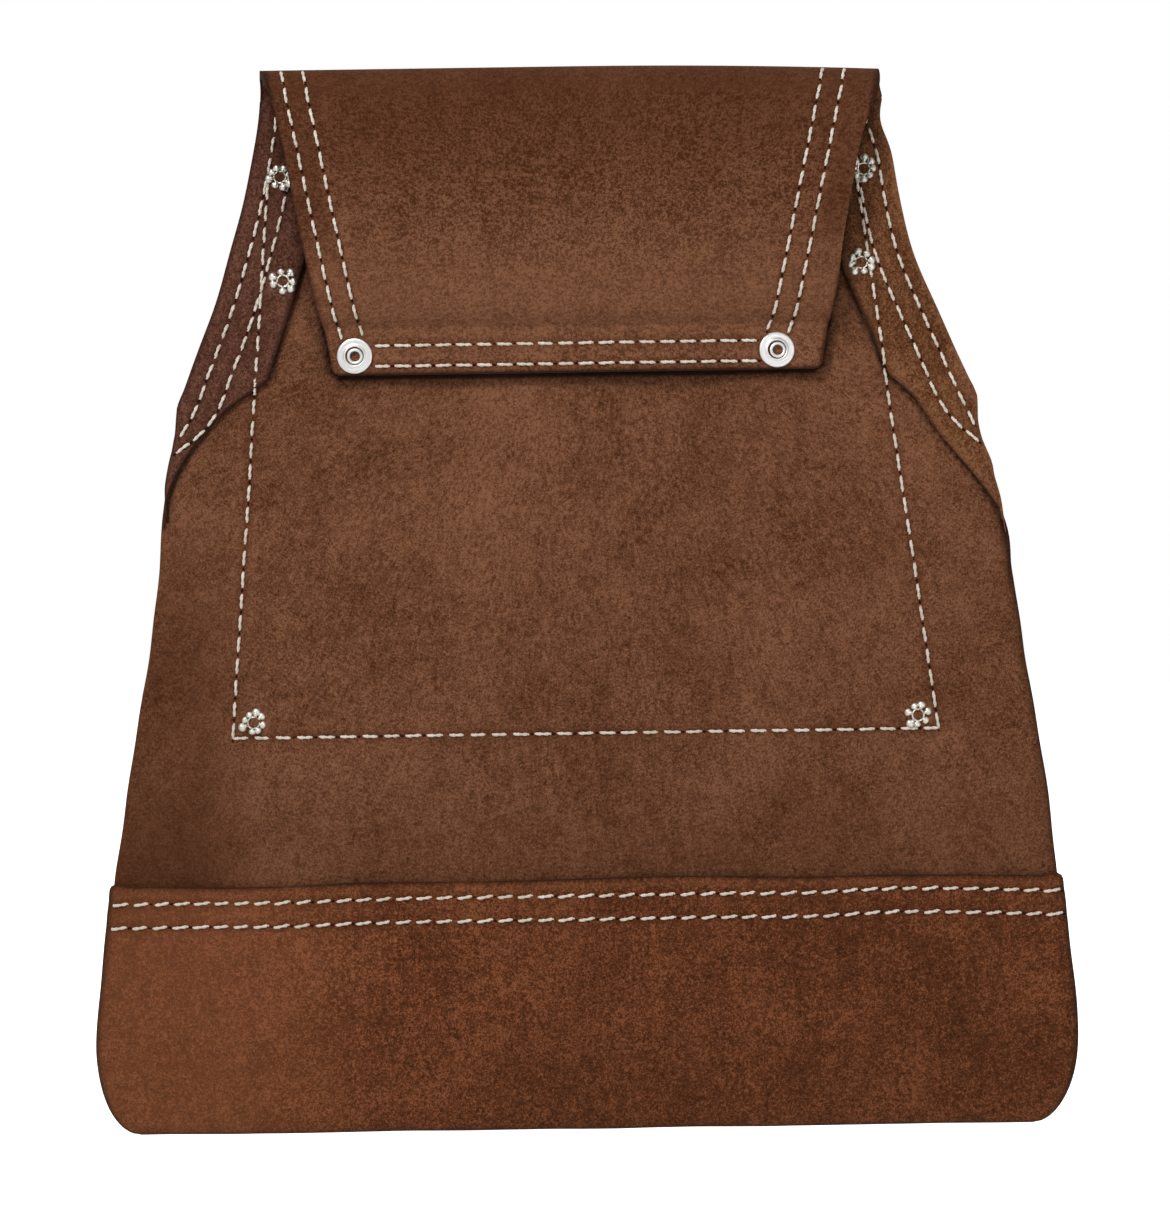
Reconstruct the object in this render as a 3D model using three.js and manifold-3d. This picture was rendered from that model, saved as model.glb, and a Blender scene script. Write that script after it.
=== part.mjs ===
// A suede belt pouch of the work-apron family, seen from the wearer's side at -Y. One hide makes the
// back panel, and its top folds down over the back as the belt tunnel, riveted at two corners. A front
// panel closes the pouch at the sides and the bottom, a flat pocket is sewn and riveted inside, and
// facing strips stiffen every cut edge. Lengths are in millimetres. Heights are measured up from the
// bottom edge, and y = 0 is the outer face of the back panel, until the group moves the origin to the
// middle of the belt tunnel.
import * as THREE from "three";
import { mergeVertices } from "three/addons/utils/BufferGeometryUtils.js";
import Module from "manifold-3d";

const wasm = await Module();
wasm.setup();

// Overall sizes of the back panel. Most other places are shares of these two.
const pouchHeight = 310.5;
const pouchHalfWidth = 142.7;

// Leather, thread and the clearance between pieces that touch.
const hideThickness = 2.2;
const stripThickness = 1.8;
const pocketThickness = 1.8;
const threadRadius = 0.4;
const gap = 0.3;
const curvedGap = 0.9;

// Back panel outline, as half widths at heights.
const foldHalfWidth = 0.638 * pouchHalfWidth;
const shoulderHeight = 0.686 * pouchHeight;
const shoulderHalfWidth = 0.8235 * pouchHalfWidth;
const cornerHeight = 25;
const cornerReach = 13;
const crescentPower = 1.65;
const sidePower = 1.4;

// Belt tunnel: the flap that the fold brings down over the back.
const tunnelGap = 12;
const flapDrop = 89;
const flapTipHeight = pouchHeight - flapDrop;
const flapTipHalfWidth = foldHalfWidth - 19.7;
const flapPressedHeight = 14.5;
const seamShift = -3;

// Facing strips and their two rows of stitches, measured from the cut edge.
const stripWidth = 20.5;
const outerRowInset = 5;
const rowSpacing = 6.3;
const tipRowInset = 2.4;
const tipRowSpacing = 6;
const stripTailTop = shoulderHeight + 7;
const stripTailEnd = shoulderHeight - 30;
const rowEndInset = 1.5;

// The flap's rows sit a little further in than the strips' rows, and the left pair stands nearer its edge.
const flapRowInset = 1.4;
const flapRowClearance = 1.2;

// Flat pocket inside, with the U-shaped seam that shows on the back.
const pocketSeamTop = pouchHeight - 34.5;
const pocketSeamTopHalfWidth = foldHalfWidth - 4.5;
const pocketSeamBottom = 0.368 * pouchHeight;
const pocketSeamBottomHalfWidth = 0.729 * pouchHalfWidth;
const pocketSeamMargin = 6;
const pocketSeamRound = 5;
const pocketMouthHeight = pouchHeight - 22.5;
const pocketBulge = 8;

// Front of the pouch.
const pouchDepth = 40;
const mouthExtraDepth = 6;
const bottomCurl = 32;
const mouthCentreHeight = 0.541 * pouchHeight;
const mouthPower = 2.5;
const sectionPower = 1.2;

// Doubling panel round the bottom.
const lowerPanelHeight = 72.5;
const lowerPanelStep = 1.3;
const lowerRowInset = 4.6;
const lowerRowSpacing = 6.9;

// Rivets: six that clinch in a burst, and two over burrs at the flap's corners.
const shankRadius = 1.8;
const headRadius = 4.5;
const headThickness = 1.2;
const burstRadius = 4.6;
const burstThickness = 1.2;
const burstPetals = 8;
const burrRadius = 5.2;
const burrThickness = 1;
const rollRadius = 3;
const rollThickness = 0.8;
const petalRoot = 0.62;
const burstHollowRadius = 1.1;
const rollHollowRadius = 1.3;
const burstClearance = 1.1;
const upperRivetHeight = pouchHeight - 30.5;
const secondRivetHeight = pouchHeight - 59;
const tunnelRivetInset = 9.6;
const tunnelRivetHeight = flapTipHeight + 5.5;

// Layers, from the wearer's side forwards.
const panelMiddle = hideThickness / 2;
const stripNear = panelMiddle + gap;
const stripFar = stripNear + stripThickness;
const insideFace = hideThickness + gap;
const frontInset = curvedGap + hideThickness;

const suede = { color: 0x6b3a28, roughness: 0.95, metalness: 0 };
const suedeDark = { color: 0x5c3021, roughness: 0.95, metalness: 0 };
const thread = { color: 0xe0d4c2, roughness: 0.8, metalness: 0 };
const steel = { color: 0xc9cbc8, roughness: 0.3, metalness: 1 };

const pouch = new THREE.Group();

function addMesh(name, geometry, look) {
  const mesh = new THREE.Mesh(geometry, new THREE.MeshStandardMaterial(look));
  mesh.name = name;
  pouch.add(mesh);
}

// ---- Solids, joined and cut ----

function toSolid(geometry) {
  const bare = geometry.clone();
  bare.deleteAttribute("normal");
  bare.deleteAttribute("uv");
  const merged = mergeVertices(bare, 1e-4);
  return new wasm.Manifold(
    new wasm.Mesh({
      numProp: 3,
      vertProperties: merged.attributes.position.array,
      triVerts: new Uint32Array(merged.index.array),
    }),
  );
}

function toGeometry(solid) {
  const mesh = solid.getMesh();
  const geometry = new THREE.BufferGeometry();
  geometry.setAttribute("position", new THREE.BufferAttribute(mesh.vertProperties, 3));
  geometry.setIndex(new THREE.BufferAttribute(mesh.triVerts, 1));
  return geometry;
}

function cut(geometry, cutters) {
  let solid = toSolid(geometry);
  for (const cutter of cutters) {
    solid = solid.subtract(toSolid(cutter));
  }
  return toGeometry(solid);
}

// ---- Sheets: a box with one cell for each column and row, each corner of it moved to its place ----

function sheet(columns, rows, place) {
  const geometry = new THREE.BoxGeometry(1, 1, 1, columns, rows, 1);
  const position = geometry.attributes.position;
  for (let i = 0; i < position.count; i++) {
    const column = Math.round((position.getX(i) + 0.5) * columns);
    const row = Math.round((position.getY(i) + 0.5) * rows);
    const layer = Math.round(position.getZ(i) + 0.5);
    const point = place(column, row, layer);
    position.setXYZ(i, point.x, point.y, point.z);
  }
  return geometry;
}

function mix(from, to, share) {
  return from + (to - from) * share;
}

// A ramp from 0 to 1 with level ends.
function ramp(value) {
  return THREE.MathUtils.smoothstep(value, 0, 1);
}

function steps(from, to, count) {
  return Array.from({ length: count + 1 }, (_, i) => mix(from, to, i / count));
}

// ---- The back panel's outline and the path that it bends along ----

function halfWidth(height) {
  if (height < cornerHeight) {
    const below = (cornerHeight - height) / cornerHeight;
    return pouchHalfWidth - cornerReach * (1 - Math.sqrt(Math.max(0, 1 - below * below)));
  }
  if (height < shoulderHeight) {
    const up = (height - cornerHeight) / (shoulderHeight - cornerHeight);
    return mix(shoulderHalfWidth, pouchHalfWidth, 1 - Math.pow(up, sidePower));
  }
  const down = (pouchHeight - height) / (pouchHeight - shoulderHeight);
  return mix(foldHalfWidth, shoulderHalfWidth, Math.pow(Math.max(0, down), crescentPower));
}

const foldRadius = (tunnelGap + hideThickness) / 2;
const foldCentreHeight = pouchHeight - foldRadius - hideThickness / 2;
const foldCentreY = panelMiddle - foldRadius;
const flapHangY = foldCentreY - foldRadius;
const flapTipY = -(gap + stripThickness + gap + hideThickness / 2);
const pressedTop = flapTipHeight + flapPressedHeight;

// The middle of the hide's thickness, in the y-z plane: up the back, over the fold, down the flap.
const bend = new THREE.CurvePath();
bend.add(
  new THREE.LineCurve(
    new THREE.Vector2(panelMiddle, 0),
    new THREE.Vector2(panelMiddle, foldCentreHeight),
  ),
);
bend.add(
  new THREE.EllipseCurve(foldCentreY, foldCentreHeight, foldRadius, foldRadius, 0, Math.PI),
);
bend.add(
  new THREE.CubicBezierCurve(
    new THREE.Vector2(flapHangY, foldCentreHeight),
    new THREE.Vector2(flapHangY, mix(pressedTop, foldCentreHeight, 0.54)),
    new THREE.Vector2(flapHangY, mix(pressedTop, foldCentreHeight, 0.03)),
    new THREE.Vector2(flapTipY, pressedTop),
  ),
);
bend.add(
  new THREE.LineCurve(
    new THREE.Vector2(flapTipY, pressedTop),
    new THREE.Vector2(flapTipY, flapTipHeight),
  ),
);
const bendLengths = bend.getCurveLengths();
const foldStart = bendLengths[0];
const flapStart = bendLengths[1];
const pressedStart = bendLengths[2];
const tipEnd = bendLengths[3];

// A point at x, at a distance along the bend, raised from the hide's middle towards the wearer's side.
function onBend(x, along, raised) {
  const share = THREE.MathUtils.clamp(along / tipEnd, 0, 1);
  const middle = bend.getPoint(share);
  const tangent = bend.getTangent(share);
  return new THREE.Vector3(x, middle.x - tangent.y * raised, middle.y + tangent.x * raised);
}

function edgeAt(along) {
  if (along <= foldStart) {
    return halfWidth(along);
  }
  return mix(halfWidth(foldStart), flapTipHalfWidth, (along - foldStart) / (tipEnd - foldStart));
}

// Half width of a line that runs parallel to the cut edge, at an inset from it.
function insetAt(along, inset) {
  const slope = (edgeAt(along + 1) - edgeAt(along - 1)) / 2;
  return edgeAt(along) - inset * Math.hypot(1, slope);
}

// The inner edge of a facing strip: parallel to the cut edge, then a tail that runs out to the side.
function stripInner(along) {
  const inner = insetAt(along, stripWidth);
  if (along >= stripTailTop) {
    return inner;
  }
  const tail = (stripTailTop - along) / (stripTailTop - stripTailEnd);
  return mix(stripInner(stripTailTop), halfWidth(stripTailEnd) - 1, tail);
}

const tipStripTop = tipEnd - stripWidth;
const flapAlongs = [
  ...steps(foldStart, flapStart, 8),
  ...steps(flapStart, tipStripTop, 6).slice(1),
  pressedStart,
  tipEnd,
];
const crescentAlongs = steps(shoulderHeight, foldStart, 7);
const cornerAlongs = steps(0, 1, 5).map((share) => cornerHeight * share * share);

// A sheet on the bend between two edges, each a function of the distance along it.
function bentSheet(alongs, leftEdge, rightEdge, near, far) {
  return sheet(1, alongs.length - 1, (column, row, layer) => {
    const along = alongs[row];
    const x = column === 0 ? leftEdge(along) : rightEdge(along);
    return onBend(x, along, layer === 0 ? near : far);
  });
}

// ---- Threads: six-sided tubes that lie on the leather ----

// A path of straight runs between points, each run an equal share of it.
class Polyline extends THREE.Curve {
  constructor(points) {
    super();
    this.points = points;
  }

  getPoint(share) {
    const runs = this.points.length - 1;
    const run = Math.min(Math.floor(share * runs), runs - 1);
    return this.points[run].clone().lerp(this.points[run + 1], share * runs - run);
  }

  getUtoTmapping(share) {
    return share;
  }
}

function tube(points, radius) {
  const section = new THREE.Shape(
    steps(0, 5, 5).map((i) => {
      const turn = (i * Math.PI) / 3;
      return new THREE.Vector2(Math.cos(turn) * radius, Math.sin(turn) * radius);
    }),
  );
  return new THREE.ExtrudeGeometry(section, {
    steps: points.length - 1,
    extrudePath: new Polyline(points),
    bevelEnabled: false,
  });
}

function addThread(name, points) {
  addMesh(name + "_thread", tube(points, threadRadius), thread);
}

// ---- Holes and rivets, made along Z and then turned so that the head faces the front ----

const towardsFront = new THREE.Matrix4().makeRotationX(-Math.PI / 2);

function shankHole(x, z) {
  const hole = new THREE.CylinderGeometry(shankRadius + gap, shankRadius + gap, 60, 10);
  hole.translate(x, 0, z);
  return hole;
}

function ring(outer, inner, thickness, sides) {
  return new THREE.LatheGeometry(
    [
      new THREE.Vector2(inner, 0),
      new THREE.Vector2(outer, 0),
      new THREE.Vector2(outer, thickness * 0.6),
      new THREE.Vector2(mix(inner, outer, 0.8), thickness),
      new THREE.Vector2(inner, thickness),
      new THREE.Vector2(inner, 0),
    ],
    sides,
  );
}

// Head and shank: the shank runs from the head at y = headY back to y = endY.
function headAndShank(headY, endY) {
  const profile = [
    new THREE.Vector2(0, endY),
    new THREE.Vector2(shankRadius, endY),
    new THREE.Vector2(shankRadius, headY),
    new THREE.Vector2(headRadius, headY),
    new THREE.Vector2(headRadius * 0.95, headY + headThickness * 0.5),
    new THREE.Vector2(headRadius * 0.6, headY + headThickness),
    new THREE.Vector2(0, headY + headThickness),
  ];
  return new THREE.LatheGeometry(profile, 16);
}

// The hollow of the tube: it opens at y and is as deep as half its length.
function hollowAt(y, radius, length) {
  return new THREE.CylinderGeometry(radius, radius, length, 12).translate(0, y, 0);
}

// A clinched end split into petals round the hollow of the tube.
function burst() {
  const corners = burstPetals * 3;
  const outline = new THREE.Shape(
    steps(0, corners - 1, corners - 1).map((i) => {
      const turn = (i * 2 * Math.PI) / corners;
      const reach = i % 3 === 0 ? burstRadius * petalRoot : burstRadius;
      return new THREE.Vector2(Math.cos(turn) * reach, Math.sin(turn) * reach);
    }),
  );
  const geometry = new THREE.ExtrudeGeometry(outline, { depth: burstThickness, bevelEnabled: false });
  geometry.applyMatrix4(towardsFront);
  return geometry;
}

// ---- Back panel with its flap ----

const sides = [
  { name: "left", sign: -1 },
  { name: "right", sign: 1 },
];

function seamHalfWidth(height) {
  const share = (height - pocketSeamBottom) / (pocketSeamTop - pocketSeamBottom);
  return mix(pocketSeamBottomHalfWidth, pocketSeamTopHalfWidth, share);
}

function tunnelRivetX(sign) {
  return sign * (flapTipHalfWidth - tunnelRivetInset) + seamShift;
}

const stripFaceY = -(gap + stripThickness);
const innerRowInset = outerRowInset + rowSpacing;
const bursts = [
  {
    label: "upper",
    x: seamHalfWidth(upperRivetHeight),
    z: upperRivetHeight,
    faceY: stripFaceY,
  },
  {
    label: "second",
    x: insetAt(secondRivetHeight, innerRowInset) - burstRadius - burstClearance,
    z: secondRivetHeight,
    faceY: stripFaceY,
  },
  {
    label: "corner",
    x: pocketSeamBottomHalfWidth - burstRadius - burstClearance,
    z: pocketSeamBottom + burstRadius + burstClearance,
    faceY: 0,
  },
];
const pocketHoles = sides.flatMap(({ sign }) =>
  bursts.map((rivet) => shankHole(sign * rivet.x, rivet.z)),
);
const tunnelHoles = sides.map(({ sign }) => shankHole(tunnelRivetX(sign), tunnelRivetHeight));

// The first height, going down, at which a line on the leather lies outside the pocket's seam.
function seamInsideOf(line, clearance) {
  let height = secondRivetHeight - burstRadius - burstClearance;
  while (line(height) < seamHalfWidth(height) + clearance) {
    height -= 0.25;
  }
  return height;
}

const threadLift = gap + threadRadius;
const onStripY = stripFaceY - threadLift;
const onPanelY = -threadLift;

const seamStart = seamInsideOf((z) => insetAt(z, innerRowInset), 4 * threadRadius);
const stripLeft = seamInsideOf(stripInner, 0);
const seamCornerCut = 0.26 * pocketSeamRound;
const pocketSeamSide = [
  new THREE.Vector3(seamHalfWidth(seamStart), onStripY, seamStart),
  new THREE.Vector3(seamHalfWidth(stripLeft - 3), onStripY, stripLeft - 3),
  new THREE.Vector3(seamHalfWidth(stripLeft - 8), onPanelY, stripLeft - 8),
  new THREE.Vector3(
    seamHalfWidth(pocketSeamBottom + pocketSeamRound),
    onPanelY,
    pocketSeamBottom + pocketSeamRound,
  ),
  new THREE.Vector3(
    pocketSeamBottomHalfWidth - seamCornerCut,
    onPanelY,
    pocketSeamBottom + seamCornerCut,
  ),
  new THREE.Vector3(pocketSeamBottomHalfWidth - pocketSeamRound, onPanelY, pocketSeamBottom),
];
const pocketSeamPath = [
  ...pocketSeamSide.map((p) => new THREE.Vector3(-p.x, p.y, p.z)),
  ...pocketSeamSide.toReversed(),
];

const panelAlongs = [
  ...cornerAlongs,
  ...steps(lowerPanelHeight, stripTailEnd, 3),
  ...crescentAlongs,
  ...flapAlongs.slice(1),
];
addMesh(
  "back_panel",
  cut(
    bentSheet(panelAlongs, (s) => -edgeAt(s), edgeAt, -panelMiddle, panelMiddle),
    [...pocketHoles, ...tunnelHoles],
  ),
  suede,
);
addThread("pocket_seam", pocketSeamPath);

// ---- Facing strips of the crescent edges, the fold and the flap ----

const edgeRows = [
  { name: "outer", inset: outerRowInset },
  { name: "inner", inset: innerRowInset },
];

// The rows start just under the upper rivets' clinched ends.
const edgeRowTop = upperRivetHeight - burstRadius - burstClearance;

function edgeRowPoint(sign, along, inset) {
  return new THREE.Vector3(sign * insetAt(along, inset), onStripY, along);
}

// A row comes down the crescent, and below the shoulder it bears out to the side with the strip.
function edgeRowPath(sign, inset) {
  const turn = stripTailTop - inset * 0.4;
  const runOut = mix(stripTailTop, stripTailEnd, 0.32 + inset * 0.02);
  const down = steps(edgeRowTop, turn, 6).map((along) => edgeRowPoint(sign, along, inset));
  const end = new THREE.Vector3(sign * (halfWidth(runOut) - rowEndInset), onStripY, runOut);
  return [...down, end];
}

const stripAlongs = [
  ...steps(stripTailEnd, stripTailTop, 5),
  ...crescentAlongs.slice(1),
  ...flapAlongs.slice(1),
];
for (const { name, sign } of sides) {
  const inner = (along) => sign * stripInner(along);
  const outer = (along) => sign * edgeAt(along);
  addMesh(
    name + "_edge_strip",
    cut(
      bentSheet(
        stripAlongs,
        sign < 0 ? outer : inner,
        sign < 0 ? inner : outer,
        stripNear,
        stripFar,
      ),
      [...pocketHoles, ...tunnelHoles],
    ),
    suedeDark,
  );
  for (const row of edgeRows) {
    addThread(name + "_edge_" + row.name, edgeRowPath(sign, row.inset));
  }
}

const tipStripAlongs = [tipStripTop, pressedStart, tipEnd];
const tipStripHalfWidth = stripInner(tipEnd) - gap;
addMesh(
  "flap_tip_strip",
  cut(
    bentSheet(
      tipStripAlongs,
      () => -tipStripHalfWidth,
      () => tipStripHalfWidth,
      stripNear,
      stripFar,
    ),
    tunnelHoles,
  ),
  suedeDark,
);

// ---- Rows of stitches on the flap's outer face ----

const flapThreadRaise = -(panelMiddle + threadLift);
const flapRowEnd = tipEnd - (tunnelRivetHeight - flapTipHeight) - burrRadius - flapRowClearance;
for (const { name, sign } of sides) {
  for (const row of edgeRows) {
    const rowAlongs = [
      ...flapAlongs.filter((s) => s > mix(foldStart, flapStart, 0.3) && s < flapRowEnd - 2),
      flapRowEnd,
    ];
    const margin = row.inset + flapRowInset - sign * seamShift;
    const points = rowAlongs.map((s) => onBend(sign * (edgeAt(s) - margin), s, flapThreadRaise));
    addThread(name + "_flap_" + row.name, points);
  }
}
const tipRows = [
  { name: "upper", inset: tipRowInset + tipRowSpacing },
  { name: "lower", inset: tipRowInset },
];
for (const row of tipRows) {
  const points = sides.map(({ sign }) => {
    const x = tunnelRivetX(sign) - sign * (burrRadius + flapRowClearance);
    return onBend(x, tipEnd - row.inset, flapThreadRaise);
  });
  addThread("flap_tip_" + row.name, points);
}

// ---- Doubling panel on the back ----

const lowerFarY = -(gap + hideThickness);
const lowerRows = [
  { name: "upper", height: lowerPanelHeight - lowerRowInset },
  { name: "lower", height: lowerPanelHeight - lowerRowInset - lowerRowSpacing },
];

function lowerRowPath(height) {
  const reach = halfWidth(height) - rowEndInset;
  return [-reach, reach].map((x) => new THREE.Vector3(x, lowerFarY - threadLift, height));
}

const lowerAlongs = [...cornerAlongs, ...steps(cornerHeight, lowerPanelHeight, 2).slice(1)];
addMesh(
  "back_lower_panel",
  bentSheet(
    lowerAlongs,
    (s) => -(halfWidth(s) + lowerPanelStep),
    (s) => halfWidth(s) + lowerPanelStep,
    panelMiddle + gap,
    panelMiddle + gap + hideThickness,
  ),
  suede,
);
for (const row of lowerRows) {
  addThread("back_lower_" + row.name, lowerRowPath(row.height));
}

// ---- Flat pocket on the front face of the back panel ----

const pocketBottom = pocketSeamBottom - pocketSeamMargin;
const pocketRows = [0, 0.08, 0.18, 0.3, 0.42, 0.7, 1];

// The rim beside the rivets' heads stays flat, as a share of the pocket's half width.
const pocketRim =
  (bursts[1].x - headRadius - gap) / (seamHalfWidth(secondRivetHeight) + pocketSeamMargin);
const pocketColumns = [-1, ...steps(-pocketRim, pocketRim, 8), 1];

function pocketSwell(across, up) {
  const swollen = ramp((1 - Math.abs(across) / pocketRim) / 0.4);
  return pocketBulge * swollen * ramp((up - pocketRows[1]) / (pocketRows[4] - pocketRows[1]));
}

addMesh(
  "inner_pocket",
  cut(
    sheet(pocketColumns.length - 1, pocketRows.length - 1, (column, row, layer) => {
      const across = pocketColumns[column];
      const z = mix(pocketBottom, pocketMouthHeight, pocketRows[row]);
      const y = insideFace + pocketSwell(across, pocketRows[row]) + (1 - layer) * pocketThickness;
      return new THREE.Vector3(across * (seamHalfWidth(z) + pocketSeamMargin), y, z);
    }),
    pocketHoles,
  ),
  suedeDark,
);

// ---- Front of the pouch: shells set in from one outer surface ----

function mouthHeight(turn) {
  const rise = Math.pow(Math.abs(Math.sin(turn)), mouthPower);
  return mix(mouthCentreHeight, shoulderHeight, rise);
}

// Point on the front surface at a turn across it, at a height, set in from the outer face.
function onFront(turn, height, inset) {
  const curl = height < bottomCurl ? Math.acos(1 - height / bottomCurl) : Math.PI / 2;
  const z = height < bottomCurl ? mix(inset, bottomCurl, height / bottomCurl) : height;
  const rise = ramp((height - bottomCurl) / (mouthCentreHeight - bottomCurl));
  const depth = pouchDepth + mouthExtraDepth * rise - inset;
  const section = Math.pow(Math.max(0, Math.cos(turn)), sectionPower);
  return new THREE.Vector3(
    (halfWidth(z) - inset) * Math.sin(turn),
    insideFace + depth * Math.sin(curl) * section,
    z,
  );
}

const frontColumns = 20;
const frontTurns = steps(-Math.PI / 2, Math.PI / 2, frontColumns);
const curlHeights = steps(0, Math.PI / 2, 5).map((curl) => bottomCurl * (1 - Math.cos(curl)));

// heightsAt gives the sheet's rows at a turn, lowest first.
function frontSheet(rowCount, heightsAt, nearInset, farInset) {
  return sheet(frontColumns, rowCount, (column, row, layer) => {
    const turn = -frontTurns[column];
    return onFront(turn, heightsAt(turn)[row], layer === 0 ? nearInset : farInset);
  });
}

addMesh(
  "front_panel",
  frontSheet(
    curlHeights.length + 3,
    (turn) => [...curlHeights, ...steps(lowerPanelHeight, mouthHeight(turn), 3)],
    frontInset + hideThickness,
    frontInset,
  ),
  suede,
);
addMesh(
  "front_lower_panel",
  frontSheet(
    curlHeights.length,
    () => [...curlHeights, lowerPanelHeight],
    hideThickness,
    0,
  ),
  suede,
);
addMesh(
  "mouth_strip",
  frontSheet(
    1,
    (turn) => [mouthHeight(turn) - stripWidth, mouthHeight(turn)],
    frontInset - gap,
    frontInset - gap - stripThickness,
  ),
  suedeDark,
);

const frontThreadTurns = frontTurns.slice(1, -1);
for (const row of edgeRows) {
  const inset = frontInset - gap - stripThickness - threadLift;
  const points = frontThreadTurns.map((turn) => onFront(turn, mouthHeight(turn) - row.inset, inset));
  addThread("mouth_" + row.name, points);
}
for (const row of lowerRows) {
  const points = frontThreadTurns.map((turn) => onFront(turn, row.height, -threadLift));
  addThread("front_lower_" + row.name, points);
}

// The seam that closes the sides and the bottom is turned inside, so its thread lies in the corner.
const seamInset = frontInset + hideThickness + 1.2;
const closingCorner = cornerHeight + seamInset;
const closingSide = [
  ...steps(shoulderHeight - 20, closingCorner, 5).map(
    (z) => new THREE.Vector2(halfWidth(z) - seamInset, z),
  ),
  ...[60, 30].map((degrees) => {
    const turn = THREE.MathUtils.degToRad(degrees);
    const reach = pouchHalfWidth - seamInset - cornerReach * 1.4 * (1 - Math.sin(turn));
    return new THREE.Vector2(reach, closingCorner - cornerHeight * Math.cos(turn) * 0.9);
  }),
];
const closingPath = [
  ...closingSide.map((p) => new THREE.Vector3(-p.x, insideFace + threadRadius, p.y)),
  ...closingSide.toReversed().map((p) => new THREE.Vector3(p.x, insideFace + threadRadius, p.y)),
];
addThread("closing_seam", closingPath);

// ---- Rivets ----

const pocketHeadY = insideFace + pocketThickness + gap;
for (const { name, sign } of sides) {
  for (const { label, x, z, faceY } of bursts) {
    const clinchY = faceY - gap - burstThickness;
    const body = toSolid(headAndShank(pocketHeadY, clinchY + 0.6));
    const star = burst().translate(0, clinchY, 0);
    const hollow = hollowAt(clinchY, burstHollowRadius, 4);
    const joined = toGeometry(body.add(toSolid(star)).subtract(toSolid(hollow)));
    addMesh(name + "_" + label + "_rivet", joined.translate(sign * x, 0, z), steel);
  }
  const burrY = flapTipY - hideThickness / 2 - gap;
  const rollY = burrY - burrThickness - gap;
  const x = tunnelRivetX(sign);
  const burr = ring(burrRadius, shankRadius + gap, burrThickness, 24).rotateX(Math.PI);
  addMesh(name + "_burr", burr.translate(x, burrY, tunnelRivetHeight), steel);
  const endY = rollY - rollThickness;
  const body = toSolid(headAndShank(insideFace, endY));
  const roll = ring(rollRadius, 1, rollThickness, 20).rotateX(Math.PI).translate(0, rollY, 0);
  const hollow = hollowAt(endY, rollHollowRadius, 5);
  const joined = toGeometry(body.add(toSolid(roll)).subtract(toSolid(hollow)));
  addMesh(name + "_tunnel_rivet", joined.translate(x, 0, tunnelRivetHeight), steel);
}

// The origin is the middle of the belt's place in the tunnel.
const tunnelCentreY = foldCentreY;
const tunnelCentreHeight = (pressedTop + foldCentreHeight) / 2;
pouch.position.set(0, -tunnelCentreY, -tunnelCentreHeight);

export default pouch;
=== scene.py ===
import bmesh
import bpy
import math
import numpy as np
from mathutils import Matrix, Vector


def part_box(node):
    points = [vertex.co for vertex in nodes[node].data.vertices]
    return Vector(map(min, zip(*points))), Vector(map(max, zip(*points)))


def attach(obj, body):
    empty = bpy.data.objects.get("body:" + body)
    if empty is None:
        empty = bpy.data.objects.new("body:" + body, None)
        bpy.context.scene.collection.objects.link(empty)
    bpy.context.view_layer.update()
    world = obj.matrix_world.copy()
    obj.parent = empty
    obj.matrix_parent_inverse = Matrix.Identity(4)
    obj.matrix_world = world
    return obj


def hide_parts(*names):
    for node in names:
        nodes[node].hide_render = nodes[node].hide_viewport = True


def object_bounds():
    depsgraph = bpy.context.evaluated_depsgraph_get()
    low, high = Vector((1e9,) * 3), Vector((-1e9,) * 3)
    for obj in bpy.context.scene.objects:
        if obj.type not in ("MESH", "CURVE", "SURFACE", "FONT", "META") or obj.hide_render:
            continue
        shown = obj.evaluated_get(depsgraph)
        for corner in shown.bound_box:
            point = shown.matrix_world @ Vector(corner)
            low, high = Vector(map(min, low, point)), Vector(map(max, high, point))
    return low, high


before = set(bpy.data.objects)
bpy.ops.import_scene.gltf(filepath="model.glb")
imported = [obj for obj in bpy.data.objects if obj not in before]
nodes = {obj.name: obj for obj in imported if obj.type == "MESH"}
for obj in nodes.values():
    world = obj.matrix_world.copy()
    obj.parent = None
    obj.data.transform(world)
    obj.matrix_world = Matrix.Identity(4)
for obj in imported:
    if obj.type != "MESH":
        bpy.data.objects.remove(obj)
cadLow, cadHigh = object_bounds()

# Sizes of the pouch, in millimetres from its bottom edge, as in the CAD part.

backLow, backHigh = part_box("back_panel")
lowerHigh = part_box("back_lower_panel")[1]
hide = {
    "thickness": 2.2,
    "stripThickness": 1.8,
    "gap": 0.3,
    "cutRound": 0.45,     # rounding of the cut edges
    "spacing": 2.0,       # size of a mesh cell
}
body = {
    "height": (backHigh.z - backLow.z) * 1000,
    "halfWidth": backHigh.x * 1000,
    "foldHalfWidth": 0.638 * backHigh.x * 1000,
    "shoulderHalfWidth": 0.8235 * backHigh.x * 1000,
    "cornerHeight": 25,
    "cornerReach": 13,
    "crescentPower": 1.65,
    "sidePower": 1.4,
    "edgeWobble": 0.45,
    "rollRadius": 4.5,    # the turned side seams roll forwards over this width
    "rollDepth": 1.7,
}
body["shoulderHeight"] = 0.686 * body["height"]
flap = {
    "tunnelGap": 12,
    "tipHeight": body["height"] - 89,
    "tipHalfWidth": body["foldHalfWidth"] - 19.7,
    "pressedHeight": 14.5,
    "cornerRound": 1.9,
    "foldSag": 2.1,       # the fold drops a little at the right end
}
strip = {
    "width": 20.5,
    "outerRow": 5,
    "rowSpacing": 6.3,
    "tailTop": body["shoulderHeight"] + 7,
    "tailEndLeft": body["shoulderHeight"] - 34,
    "tailEndRight": body["shoulderHeight"] - 40,
    "tailPowerLeft": 2.4,
    "tailPowerRight": 1.5,
}
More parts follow.
